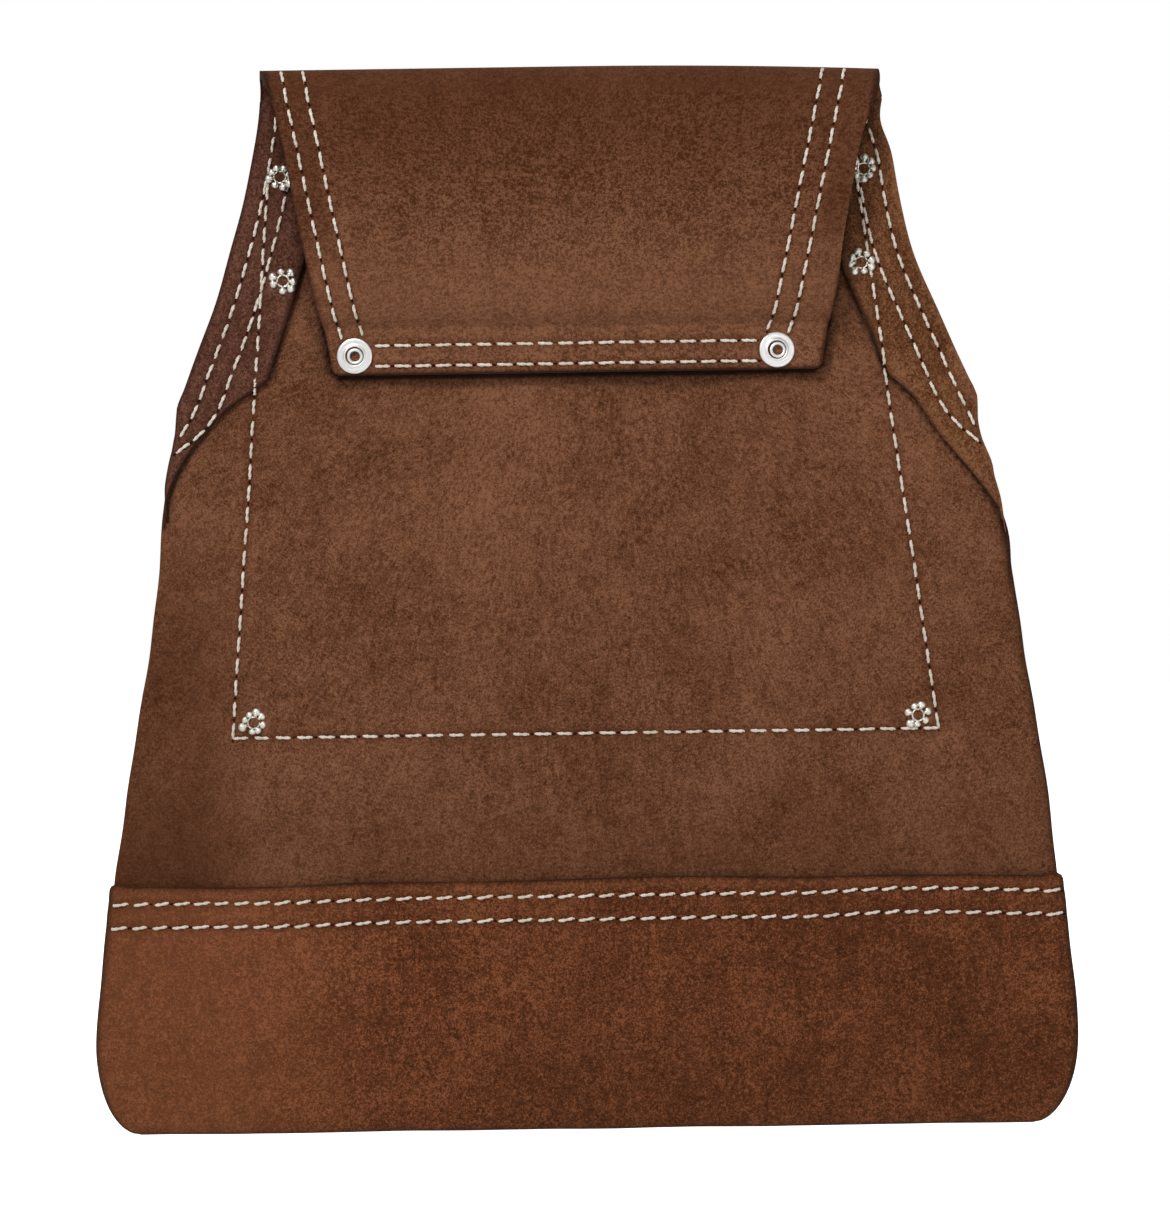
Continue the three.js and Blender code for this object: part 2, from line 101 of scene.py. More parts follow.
seam = {
    "top": body["height"] - 34.5,
    "topHalfWidth": body["foldHalfWidth"] - 4.5,
    "bottom": 0.368 * body["height"],
    "bottomHalfWidth": 0.729 * body["halfWidth"],
    "lift": 1.2,
    "lean": 0.028,
}
originShift = np.array([0.0, backHigh.y * 1000 - hide["thickness"], backLow.z * 1000])
lowerPanelTop = (lowerHigh.z - backLow.z) * 1000


def toFrame(points):
    return (np.asarray(points, float) + originShift) * 0.001


def mix(a, b, share):
    return a + (b - a) * share


def ramp(value):
    t = np.clip(value, 0, 1)
    return t * t * (3 - 2 * t)


def halfWidth(z):
    z = np.asarray(z, float)
    below = np.clip((body["cornerHeight"] - z) / body["cornerHeight"], 0, 1)
    corner = body["halfWidth"] - body["cornerReach"] * (1 - np.sqrt(1 - below**2))
    up = np.clip((z - body["cornerHeight"]) / (body["shoulderHeight"] - body["cornerHeight"]), 0, 1)
    side = mix(body["shoulderHalfWidth"], body["halfWidth"], 1 - up ** body["sidePower"])
    down = np.clip((body["height"] - z) / (body["height"] - body["shoulderHeight"]), 0, 1)
    rise = down ** body["crescentPower"]
    crescent = mix(body["foldHalfWidth"], body["shoulderHalfWidth"], rise)
    return np.where(z < body["cornerHeight"], corner,
                    np.where(z < body["shoulderHeight"], side, crescent))


# The bend: up the back, over the fold and down the flap, along the middle of the hide.

def bendLine():
    half = hide["thickness"] / 2
    radius = (flap["tunnelGap"] + hide["thickness"]) / 2
    centreZ = body["height"] - radius - half
    centreY = half - radius
    hangY = centreY - radius
    tipY = -(2 * hide["gap"] + hide["stripThickness"] + half)
    pressed = flap["tipHeight"] + flap["pressedHeight"]
    turn = np.linspace(0, math.pi, 60)
    t = np.linspace(0, 1, 120)[:, None]
    p = np.array([
        [hangY, centreZ],
        [hangY, mix(pressed, centreZ, 0.54)],
        [hangY, mix(pressed, centreZ, 0.03)],
        [tipY, pressed],
    ])
    drop = (1 - t)**3 * p[0] + 3 * (1 - t)**2 * t * p[1] + 3 * (1 - t) * t**2 * p[2] + t**3 * p[3]
    line = np.vstack([
        np.column_stack([np.full(80, half), np.linspace(0, centreZ, 80)]),
        np.column_stack([centreY + radius * np.cos(turn), centreZ + radius * np.sin(turn)])[1:],
        drop[1:],
        np.column_stack([np.full(12, tipY), np.linspace(pressed, flap["tipHeight"], 12)])[1:],
    ])
    along = np.concatenate([[0], np.cumsum(np.hypot(*np.diff(line, axis=0).T))])
    marks = {"foldStart": centreZ, "flapStart": centreZ + math.pi * radius, "tipEnd": along[-1]}
    return line, along, marks


bendPoints, bendAlong, marks = bendLine()


def onBend(x, along, raised):
    # a point at x, at a distance along the bend, raised towards the wearer's side
    y = np.interp(along, bendAlong, bendPoints[:, 0])
    z = np.interp(along, bendAlong, bendPoints[:, 1])
    step = 0.4
    ty = np.interp(along + step, bendAlong, bendPoints[:, 0])
    ty = ty - np.interp(along - step, bendAlong, bendPoints[:, 0])
    tz = np.interp(along + step, bendAlong, bendPoints[:, 1])
    tz = tz - np.interp(along - step, bendAlong, bendPoints[:, 1])
    long = np.maximum(np.hypot(ty, tz), 1e-9)
    foldTop = (marks["foldStart"] + marks["flapStart"]) / 2
    sag = flap["foldSag"] * np.clip(x / body["foldHalfWidth"], 0, 1) ** 2
    sag = sag * np.exp(-((along - foldTop) / 35) ** 2)
    return np.stack(np.broadcast_arrays(x, y - raised * tz / long, z + raised * ty / long - sag), -1)


def bendNormal(along):
    # unit normal towards the wearer's side
    ahead, behind = onBend(0.0, along, 1.0), onBend(0.0, along, 0.0)
    return ahead - behind


def edgeAt(along):
    along = np.asarray(along, float)
    share = (along - marks["foldStart"]) / (marks["tipEnd"] - marks["foldStart"])
    flapEdge = mix(halfWidth(marks["foldStart"]), flap["tipHalfWidth"], np.clip(share, 0, 1))
    return np.where(along <= marks["foldStart"], halfWidth(along), flapEdge)


def roundedEdge(along):
    # the flap's edge with its two lower corners rounded off
    into = np.clip((along - marks["tipEnd"]) / flap["cornerRound"] + 1, 0, 1)
    return edgeAt(along) - flap["cornerRound"] * (1 - np.sqrt(1 - into**2))


def insetAt(along, inset):
    slope = (edgeAt(along + 1) - edgeAt(along - 1)) / 2
    return edgeAt(along) - inset * np.hypot(1, slope)


def stripInner(along, x):
    # the strip's inner border, which runs out to the side seam in a curved tail
    along = np.asarray(along, float)
    top = strip["tailTop"]
    tailEnd = tailOf(x)
    power = np.where(x < 0, strip["tailPowerLeft"], strip["tailPowerRight"])
    tail = np.clip((top - along) / (top - tailEnd), 0, 1)
    topWidth = halfWidth(top) - insetAt(np.float64(top), strip["width"])
    out = halfWidth(along) - (topWidth * (1 - tail) ** power + 0.5)
    straight = np.where(along >= top, insetAt(along, strip["width"]) - 0.5, out)
    return straight + sideBulge(x, along) * (along <= marks["foldStart"])


def tailOf(x):
    return np.where(np.asarray(x) < 0, strip["tailEndLeft"], strip["tailEndRight"])


def seamHalfWidth(z):
    share = (z - seam["bottom"]) / (seam["top"] - seam["bottom"])
    return mix(seam["bottomHalfWidth"], seam["topHalfWidth"], share)


# Slow waves that every layer of the back shares, so that the layers stay parallel.
waveDraw = np.random.default_rng(11)
waveSet = [(waveDraw.uniform(-1, 1) / s, waveDraw.uniform(-1, 1) / s, waveDraw.uniform(0, 6.28), a)
           for s, a in ((60, 0.5), (48, 0.45), (34, 0.32), (26, 0.22), (17, 0.13), (13, 0.09), (9, 0.06))]


def wave(x, z):
    total = 0
    for kx, kz, phase, size in waveSet:
        total = total + size * np.sin(6.28 * (kx * x + kz * z) + phase)
    return total


# Swells of an outline: how far out, where, and over what length.
swells = {
    "left": [(-3.2, 140, 48), (-1.3, 55, 25), (-0.9, 205, 9)],
    "right": [(-1.6, 203, 9), (2.0, 172, 12), (-2.1, 257, 22), (-2.2, 296, 7)],
    "flapLeft": [(1.7, 2, 8)],
    "flapRight": [(1.9, 9, 8), (-1.3, 36, 22)],
}


def swell(at, name):
    return sum(out * np.exp(-((at - place) / length) ** 2) for out, place, length in swells[name])


def sideBulge(x, s):
    # each side strays a little from the symmetrical outline along its height
    return np.where(np.asarray(x) > 0, swell(s, "right"), swell(s, "left"))


def flapBulge(x, s):
    # the flap's right border drops straight from the fold, then turns in; the fold's left end is wider
    below = s - (marks["foldStart"] + marks["flapStart"]) / 2
    return np.where(np.asarray(x) > 0, swell(below, "flapRight"), swell(below, "flapLeft"))


def wobble(s, seed):
    # small wander of a cut edge
    return (0.5 * np.sin(s / 9.7 + seed) + 0.3 * np.sin(s / 4.1 + seed * 2.3)
            + 0.2 * np.sin(s / 23 + seed * 0.7)) * body["edgeWobble"]


print("outline and bend ready")


# Node trees.

def newGroup(name, treeKind, inputs, outputs):
    # inputs hold a label, a socket kind and a first value or None
    group = bpy.data.node_groups.new(name, treeKind)
    for label, kind, value in inputs:
        socket = group.interface.new_socket(name=label, in_out="INPUT", socket_type="NodeSocket" + kind)
        if value is not None:
            socket.default_value = value
    for label, kind in outputs:
        group.interface.new_socket(name=label, in_out="OUTPUT", socket_type="NodeSocket" + kind)
    w = Wiring(group)
    return group, w, w.add("NodeGroupInput").outputs, w.add("NodeGroupOutput").inputs


class Wiring:
    # short ways to add and join nodes in one tree
    def __init__(self, tree):
        self.tree = tree

    def fill(self, node, inputs):
        # each input is joined to a socket or set to a value
        for label, value in inputs.items():
            if isinstance(value, bpy.types.NodeSocket):
                self.tree.links.new(value, node.inputs[label])
            else:
                node.inputs[label].default_value = value

    def add(self, kind, inputs=None, **settings):
        node = self.tree.nodes.new(kind)
        for key, value in settings.items():
            setattr(node, key, value)
        self.fill(node, inputs or {})
        return node

    def join(self, source, target):
        self.tree.links.new(source, target)

    def noise(self, vector, scale, detail, roughness=0.55, distortion=0.0):
        node = self.add("ShaderNodeTexNoise", {"Vector": vector, "Scale": scale, "Detail": detail,
                                               "Roughness": roughness, "Distortion": distortion})
        return node.outputs["Fac"]

    def math(self, operation, first, second, clamp=False):
        node = self.add("ShaderNodeMath", {0: first, 1: second}, operation=operation, use_clamp=clamp)
        return node.outputs[0]

    def spread(self, value, low, high, toLow=0.0, toHigh=1.0):
        node = self.add("ShaderNodeMapRange", {"Value": value, "From Min": low, "From Max": high,
                                               "To Min": toLow, "To Max": toHigh}, clamp=True)
        return node.outputs["Result"]

    def blend(self, fac, first, second):
        node = self.add("ShaderNodeMix", {0: fac, 6: first, 7: second}, data_type="RGBA")
        return node.outputs[2]

    def bump(self, height, strength, distance):
        node = self.add("ShaderNodeBump", {"Height": height, "Strength": strength, "Distance": distance})
        return node.outputs["Normal"]

    def vector(self, x=0.0, y=0.0, z=0.0):
        return self.add("ShaderNodeCombineXYZ", {"X": x, "Y": y, "Z": z}).outputs["Vector"]

    def between(self, low, high, seed):
        node = self.add("FunctionNodeRandomValue", {2: low, 3: high, "Seed": seed}, data_type="FLOAT")
        return node.outputs[1]


# Napped split leather: blotches, brushed nap and pits; darker stitch grooves, painted shade, painted shadow
# lines, and paler places that are partly painted light.
nap = {
    "clouds": (17, 3, 0.55, 0.5),      # scale, detail, roughness and distortion of each noise
    "patches": (62, 4, 0.6, 0.3),
    "tufts": (260, 4, 0.62, 0.2),
    "grain": (620, 3, 0.6, 0.1),
    "fibres": (1250, 2, 0.6, 0.0),
    "specks": (2700, 1, 0.5, 0.0),
    "strokes": (240, 3, 0.6, 0.6),
    "slowShares": {"clouds": 0.95, "patches": 0.6},
    "fineShares": {"tufts": 0.75, "strokes": 0.4, "grain": 1.0, "fibres": 1.8, "specks": 2.0},
    "heightShares": {"patches": 0.8, "tufts": 0.9, "grain": 0.8, "fibres": 0.6, "strokes": 0.35},
    "brushTurn": 0.45,
    "brushStretch": 0.28,
    "pitScale": 520,
    "pitReach": (0.08, 0.32),
    "pitDepth": {"tone": 0.16, "height": 0.3},
    "midTone": 0.53,
    # painted shadow colour: the near-black of the shadow lines under the flap and along the edges
    "shadowColor": (0.008, 0.003, 0.0015, 1),
}


def makeSuedeGroup():
    masks = ["Pressed", "Lightened", "Shadow", "Coarse"]
    inputs = [("Vector", "Vector", None)]
    inputs += [(label, "Color", (0.1, 0.04, 0.02, 1)) for label in ("Deep", "Mid", "Pale")]
    inputs += [(label, "Float", 1.0) for label in ("Blotch", "Grain")]
    inputs += [(label, "Float", 0.0) for label in masks]
    outputs = [("Color", "Color"), ("Roughness", "Float"), ("Height", "Float")]
    group, w, source, result = newGroup("suedeNap", "ShaderNodeTree", inputs, outputs)
    brushed = w.add("ShaderNodeMapping", {"Vector": source["Vector"], "Rotation": (0, nap["brushTurn"], 0),
                                          "Scale": (1, 1, nap["brushStretch"])})
    places = {"strokes": brushed.outputs["Vector"]}
    noises = {name: w.noise(places.get(name, source["Vector"]), *nap[name])
              for name in ("clouds", "patches", "tufts", "grain", "fibres", "specks", "strokes")}
    pits = w.add("ShaderNodeTexVoronoi", {"Vector": source["Vector"], "Scale": nap["pitScale"]}, feature="F1")
    pitMask = w.spread(pits.outputs["Distance"], *nap["pitReach"], 1.0, 0.0)

    def total(shares, middle):
        parts = [w.math("MULTIPLY", w.math("SUBTRACT", noises[name], middle), share)
                 for name, share in shares.items()]
        found = parts[0]
        for part in parts[1:]:
            found = w.math("ADD", found, part)
        return found

    slow = w.math("MULTIPLY", total(nap["slowShares"], 0.5), source["Blotch"])
    fine = w.math("SUBTRACT", total(nap["fineShares"], 0.5),
                  w.math("MULTIPLY", pitMask, nap["pitDepth"]["tone"]))
    fine = w.math("MULTIPLY", fine, w.math("ADD", source["Coarse"], 1.0))
    tone = w.math("ADD", slow, w.math("MULTIPLY", fine, source["Grain"]))
    tone = w.math("ADD", tone, nap["midTone"], clamp=True)
    low = w.blend(w.spread(tone, 0.0, 0.5), source["Deep"], source["Mid"])
    color = w.blend(w.spread(tone, 0.5, 1.0), low, source["Pale"])
    lightenedTint = w.blend(0.5, source["Pale"], color)
    # the first mask paints paler places, partly painted light; the second darkens the stitch grooves and also
    # carries painted shade; the third paints near-black painted shadow lines
    for mask, strength, tint in (("Lightened", 0.8, lightenedTint), ("Pressed", 0.7, source["Deep"]),
                                 ("Shadow", 0.94, nap["shadowColor"])):
        color = w.blend(w.math("MULTIPLY", source[mask], strength), color, tint)
    w.join(color, result["Color"])
    w.join(w.spread(noises["tufts"], 0.3, 0.7, 0.82, 1.0), result["Roughness"])
    height = w.math("SUBTRACT", total(nap["heightShares"], 0.0),
                    w.math("MULTIPLY", pitMask, nap["pitDepth"]["height"]))
    w.join(height, result["Height"])
    return group


suedeGroup = makeSuedeGroup()


def newMaterial(name):
    material = bpy.data.materials.new(name)
    material.use_nodes = True
    return material, Wiring(material.node_tree), material.node_tree.nodes["Principled BSDF"]


def suedeMaterial(name, look):
    material, w, shader = newMaterial(name)
    place = w.add("ShaderNodeTexCoord").outputs["Object"]
    shift = w.add("ShaderNodeMapping", {"Vector": place, "Location": look["place"]})
    inputs = {"Vector": shift.outputs["Vector"], "Blotch": look["blotch"], "Grain": look["grain"]}
    for label in ("Deep", "Mid", "Pale"):
        inputs[label] = (*look[label.lower()], 1)
    for label in ("Pressed", "Lightened", "Shadow", "Coarse"):
        inputs[label] = w.add("ShaderNodeAttribute", attribute_name=label.lower()).outputs["Fac"]
    leather = w.add("ShaderNodeGroup", node_tree=suedeGroup)
    w.fill(leather, inputs)
    w.fill(shader, {
        "Base Color": leather.outputs["Color"],
        "Roughness": leather.outputs["Roughness"],
        "Specular IOR Level": 0.08,
        "Sheen Weight": look["sheen"],
        "Sheen Roughness": 0.5,
        "Sheen Tint": (0.62, 0.36, 0.24, 1),
        "Normal": w.bump(leather.outputs["Height"], look["nap"], 0.0007),
    })
    return material


tones = {
    "hide": {"deep": (0.058, 0.0155, 0.0042), "mid": (0.14, 0.054, 0.025), "pale": (0.25, 0.108, 0.056),
             "blotch": 0.75, "grain": 0.78, "sheen": 0.12, "nap": 0.75, "place": (0.0, 0.0, 0.0)},
    "stripLeft": {"deep": (0.04, 0.0125, 0.006), "mid": (0.092, 0.033, 0.02), "pale": (0.175, 0.075, 0.05),
                  "blotch": 0.8, "grain": 0.9, "sheen": 0.12, "nap": 0.7, "place": (0.31, 0.2, 0.1)},
    "stripRight": {"deep": (0.062, 0.02, 0.006), "mid": (0.138, 0.051, 0.02), "pale": (0.25, 0.11, 0.052),
                   "blotch": 0.8, "grain": 1.0, "sheen": 0.12, "nap": 0.7, "place": (0.61, 0.2, 0.3)},
    "lower": {"deep": (0.05, 0.0145, 0.0045), "mid": (0.114, 0.0335, 0.012), "pale": (0.27, 0.093, 0.039),
              "blotch": 0.8, "grain": 0.95, "sheen": 0.12, "nap": 0.85, "place": (0.7, 0.4, 0.15)},
    "pocket": {"deep": (0.05, 0.016, 0.006), "mid": (0.11, 0.042, 0.02), "pale": (0.19, 0.085, 0.048),
               "blotch": 0.8, "grain": 1.0, "sheen": 0.12, "nap": 0.6, "place": (0.1, 0.6, 0.4)},
    "cut": {"deep": (0.012, 0.004, 0.002), "mid": (0.04, 0.015, 0.007), "pale": (0.13, 0.06, 0.034),
            "blotch": 0.5, "grain": 1.2, "sheen": 0.15, "nap": 0.8, "place": (0.2, 0.9, 0.4)},
}
suede = {name: suedeMaterial("suede_" + name, look) for name, look in tones.items()}


def threadMaterial():
    material, w, shader = newMaterial("waxedThread")
    place = w.add("ShaderNodeTexCoord").outputs["Object"]
    dirt = w.noise(place, 90, 3, 0.6)
    fuzz = w.noise(place, 2600, 2, 0.6)
    color = w.blend(w.spread(dirt, 0.35, 0.7), (0.97, 0.87, 0.76, 1), (0.78, 0.66, 0.53, 1))
    w.fill(shader, {
        "Base Color": w.blend(w.spread(fuzz, 0.35, 0.75, 0.0, 0.4), color, (0.42, 0.32, 0.23, 1)),
        "Roughness": w.spread(fuzz, 0.3, 0.7, 0.55, 0.8),
        "Specular IOR Level": 0.3,
        "Sheen Weight": 0.15,
        "Normal": w.bump(fuzz, 0.4, 0.0002),
    })
    return material


def holeShadeMaterial():
    material, w, shader = newMaterial("needleHoleShade")
    # painted shade: near-black colours for the flat disc that stands for the shadowed needle hole
    grain = w.noise(w.add("ShaderNodeTexCoord").outputs["Object"], 1200, 2)
    w.fill(shader, {
        "Base Color": w.blend(grain, (0.012, 0.004, 0.002, 1), (0.03, 0.011, 0.005, 1)),
        "Roughness": w.spread(grain, 0.2, 0.8, 0.85, 1.0),
        "Specular IOR Level": 0.05,
    })
    return material


def steelMaterial(name, bright, dull, roughLow, roughHigh):
    material, w, shader = newMaterial(name)
    place = w.add("ShaderNodeTexCoord").outputs["Object"]
    smear = w.noise(place, 220, 4, 0.6, 0.4)
    fine = w.noise(place, 1900, 3, 0.6)
    w.fill(shader, {
        "Base Color": w.blend(w.spread(smear, 0.4, 0.72), bright, dull),
        "Roughness": w.math("ADD", w.spread(smear, 0.3, 0.75, roughLow, roughHigh),
                            w.math("MULTIPLY", fine, 0.12)),
        "Metallic": 1.0,
        "Normal": w.bump(w.math("ADD", smear, w.math("MULTIPLY", fine, 0.5)), 0.25, 0.0002),
    })
    return material


threadLook = threadMaterial()
holeShadeLook = holeShadeMaterial()
burstSteel = steelMaterial("clinchedSteel", (0.95, 0.93, 0.87, 1), (0.7, 0.65, 0.55, 1), 0.3, 0.48)
burrSteel = steelMaterial("washerSteel", (0.97, 0.97, 0.95, 1), (0.84, 0.83, 0.8, 1), 0.3, 0.45)
hollowSteel = steelMaterial("tarnishedSteel", (0.42, 0.37, 0.3, 1), (0.2, 0.15, 0.11, 1), 0.45, 0.65)
print("materials ready")


# Leather sheets.

def addObject(name, mesh):
    thing = bpy.data.objects.new(name, mesh)
    bpy.context.scene.collection.objects.link(thing)
    return thing


def finish(piece, replaces):
    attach(piece, "root")
    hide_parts(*replaces)
    return piece


def setAttribute(mesh, name, values):
    attribute = mesh.attributes.new(name, "FLOAT", "POINT")
    attribute.data.foreach_set("value", np.asarray(values, np.float32).ravel())


def sheetPiece(name, grid, thickness, look, masks, flip=False, replaces=()):
    # grid holds the sheet's points by row and column, in millimetres
    rows, columns, _ = grid.shape
    corner = (np.arange(rows - 1)[:, None] * columns + np.arange(columns - 1)).ravel()
    quads = np.column_stack([corner, corner + 1, corner + columns + 1, corner + columns])
    if flip:
        quads = quads[:, ::-1]
    mesh = bpy.data.meshes.new(name)
    mesh.from_pydata(toFrame(grid.reshape(-1, 3)).tolist(), [], quads.tolist())
    mesh.polygons.foreach_set("use_smooth", np.ones(len(quads), bool))
    for label in ("pressed", "lightened", "shadow", "coarse"):
        values = masks.get(label)
        setAttribute(mesh, label, np.zeros((rows, columns)) if values is None else values)
    mesh.materials.append(look)
    mesh.materials.append(suede["cut"])
    mesh.update()
    piece = addObject(name, mesh)
    solidify = piece.modifiers.new("thickness", "SOLIDIFY")
    solidify.thickness = thickness * 0.001
    solidify.offset = 0
    solidify.use_even_offset = True
    solidify.material_offset_rim = 1
    bevel = piece.modifiers.new("cutRound", "BEVEL")
    bevel.width = hide["cutRound"] * 0.001
    bevel.segments = 2
    bevel.limit_method = "ANGLE"
    bevel.angle_limit = math.radians(50)
    finish(piece, replaces)
    return piece


def bodyRows(high):
    # closer together round the bottom corners and just below the flap
    low, top = flap["tipHeight"] - 4, flap["tipHeight"] + 2
    if high < top:
        return np.concatenate([rowsFor(0, 8, 0.5), rowsFor(8, high)[1:]])
    return np.concatenate([rowsFor(0, 8, 0.5), rowsFor(8, low)[1:], rowsFor(low, top, 0.45)[1:],
                           rowsFor(top, high)[1:]])


def rowsFor(low, high, spacing=None):
    spacing = spacing or hide["spacing"]
    return np.linspace(low, high, max(2, int(round((high - low) / spacing)) + 1))


# Stitch rows press a groove into the leather: each is a line of (x, along) points.
def nearLine(x, along, line, reach):
    # share from 1 on a line to 0 at its reach
    best = np.full(x.shape, 1e9)
    points = np.asarray(line, float)
    for a, b in zip(points[:-1], points[1:]):
        d = b - a
        long = max(float(d @ d), 1e-9)
        t = np.clip(((x - a[0]) * d[0] + (along - a[1]) * d[1]) / long, 0, 1)
        best = np.minimum(best, np.hypot(x - a[0] - t * d[0], along - a[1] - t * d[1]))
    return ramp(1 - best / reach)


sides = (("left", -1), ("right", 1))


def pocketSeamRuns():
    # down one side, across, and up the other; the whole seam leans a little to the left
    bottom = seam["bottom"] + seam["lift"]
    z = np.linspace(seam["top"] + 2, bottom, 14)
    side = np.column_stack([seamHalfWidth(z), z])
    across = np.column_stack([np.linspace(-1, 1, 20) * seamHalfWidth(bottom), np.full(20, bottom)])
    runs = [side * (-1, 1), across, side]
    return [run + np.column_stack([seamLean(run[:, 1]), 0 * run[:, 1]]) for run in runs]


def seamLean(z):
    return 1.25 - seam["lean"] * (z - seam["bottom"])


def edgeRowLine(sign, inset):
    turn = strip["tailTop"] - inset * 0.4
    end = mix(strip["tailTop"], body["shoulderHeight"] - 30, 0.32 + inset * 0.02)
    s = np.linspace(marks["foldStart"] + 2, turn, 26)
    x = insetAt(s, inset) + sideBulge(sign, s) + (0.8 if sign > 0 else 0.0)
    last = np.array([halfWidth(end) + float(sideBulge(sign, end)) - 0.8, end])
    knee = np.array([x[-1], s[-1]])
    t = np.linspace(0, 1, 8)[1:, None]
    pull = knee + (knee - np.array([x[-4], s[-4]])) * 0.9
    out = (1 - t)**2 * knee + 2 * (1 - t) * t * pull + t**2 * last
    return np.vstack([np.column_stack([x, s]), out]) * (sign, 1)


def flapRowLine(sign, inset, low):
    s = np.linspace(mix(marks["foldStart"], marks["flapStart"], 0.66), low, 30)
    share = (s - marks["foldStart"]) / (marks["tipEnd"] - marks["foldStart"])
    margin = inset + (mix(4.2, 6.0, share) if sign > 0 else mix(-1.0, -0.2, share))
    return np.column_stack([sign * (edgeAt(s) - margin), s])


tunnelRivets = {name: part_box(name + "_burr") for name, _ in sides}
tunnelPlaces = {
    name: ((low.x + high.x) / 2 * 1000, (low.z + high.z) / 2 * 1000 - originShift[2])
    for name, (low, high) in tunnelRivets.items()
}
burrRadius = (tunnelRivets["left"][1].x - tunnelRivets["left"][0].x) * 500
edgeInsets = {"outer": strip["outerRow"], "inner": strip["outerRow"] + strip["rowSpacing"]}
seamRuns = pocketSeamRuns()
edgeLines = {(name, row): edgeRowLine(sign, inset)
             for name, sign in sides for row, inset in edgeInsets.items()}
rivetAlong = marks["tipEnd"] - (tunnelPlaces["left"][1] - flap["tipHeight"])
flapEnds = {"outer": rivetAlong - burrRadius + 0.4, "inner": rivetAlong - burrRadius - 0.6}
flapLines = {(name, row): flapRowLine(sign, inset, flapEnds[row])
             for name, sign in sides for row, inset in edgeInsets.items()}
tipInsets = {"upper": 8.4, "lower": 2.4}
tipLines = {
    row: np.array([
        [tunnelPlaces["left"][0] + burrRadius + 0.6, marks["tipEnd"] - inset],
        [tunnelPlaces["right"][0] - burrRadius - 0.6, marks["tipEnd"] - inset],
    ]) for row, inset in tipInsets.items()
}
lowerRows = {"upper": lowerPanelTop - 4.6, "lower": lowerPanelTop - 11.5}


def rowWander(x):
    # the lower rows were sewn by eye: they drop a little on the left and rise and fall on the right
    left = -0.7 * ramp((-x - 40) / 50)
    return left + 0.8 * np.sin(x / 19 - 3.4) * ramp((x - 50) / 40)


grooveDepth = 0.42
grooveReach = 2.4


def rollOut(x, z, reach):
    # the turned sides and bottom roll forwards, away from the wearer
    out = np.abs(x) - (reach - body["rollRadius"])
    side = np.clip(out / body["rollRadius"], 0, 1)
    down = np.clip((body["rollRadius"] - z) / body["rollRadius"], 0, 1)
    share = np.maximum(side * (z < body["shoulderHeight"]), down)
    return body["rollDepth"] * (1 - np.sqrt(1 - 0.98 * share**2)) / 0.86


def flapShadow(x, z):
    # painted shadow of the hanging flap: a dark line with a soft margin on whatever lies beside and below it
    along = marks["tipEnd"] - np.maximum(z - flap["tipHeight"], 0)
    hanging = roundedEdge(along) + flapBulge(x, along)
    beside = np.maximum(np.abs(x) - hanging, 0)
    below = np.maximum(flap["tipHeight"] - z, 0)
    away = np.hypot(beside, below)
    return np.maximum(ramp(1 - (away - 0.9) / 0.9), 0.45 * ramp(1 - away / 5))


def stripShadow(x, z):
    # painted shadow: a dark line with a soft margin beside the strips' inner edges, on the panel beneath
    beside = np.abs(stripInner(z, x) - np.abs(x))
    near = np.maximum(0.9 * ramp(1 - (beside - 0.3) / 1.1), 0.3 * ramp(1 - beside / 3))
    return near * (z > tailOf(x) - 2)


def flapLevel(x, s):
    # the hanging flap waves a little, and parts of its tip stand off
    onFlap = s > marks["flapStart"]
    lift = 1.1 * np.exp(-((s - marks["tipEnd"]) / 9) ** 2) * np.sin(x / 23 + 0.8) * onFlap
    belly = np.sin(np.clip((s - marks["flapStart"]) / (rivetAlong - marks["flapStart"]), 0, 1) * math.pi)
    flapWave = (0.9 * np.sin(x / 31 + s / 60) + 0.5 * np.sin(x / 17 - s / 21 + 2)) * belly * onFlap
    return -0.6 * (np.maximum(lift, 0) + flapWave)


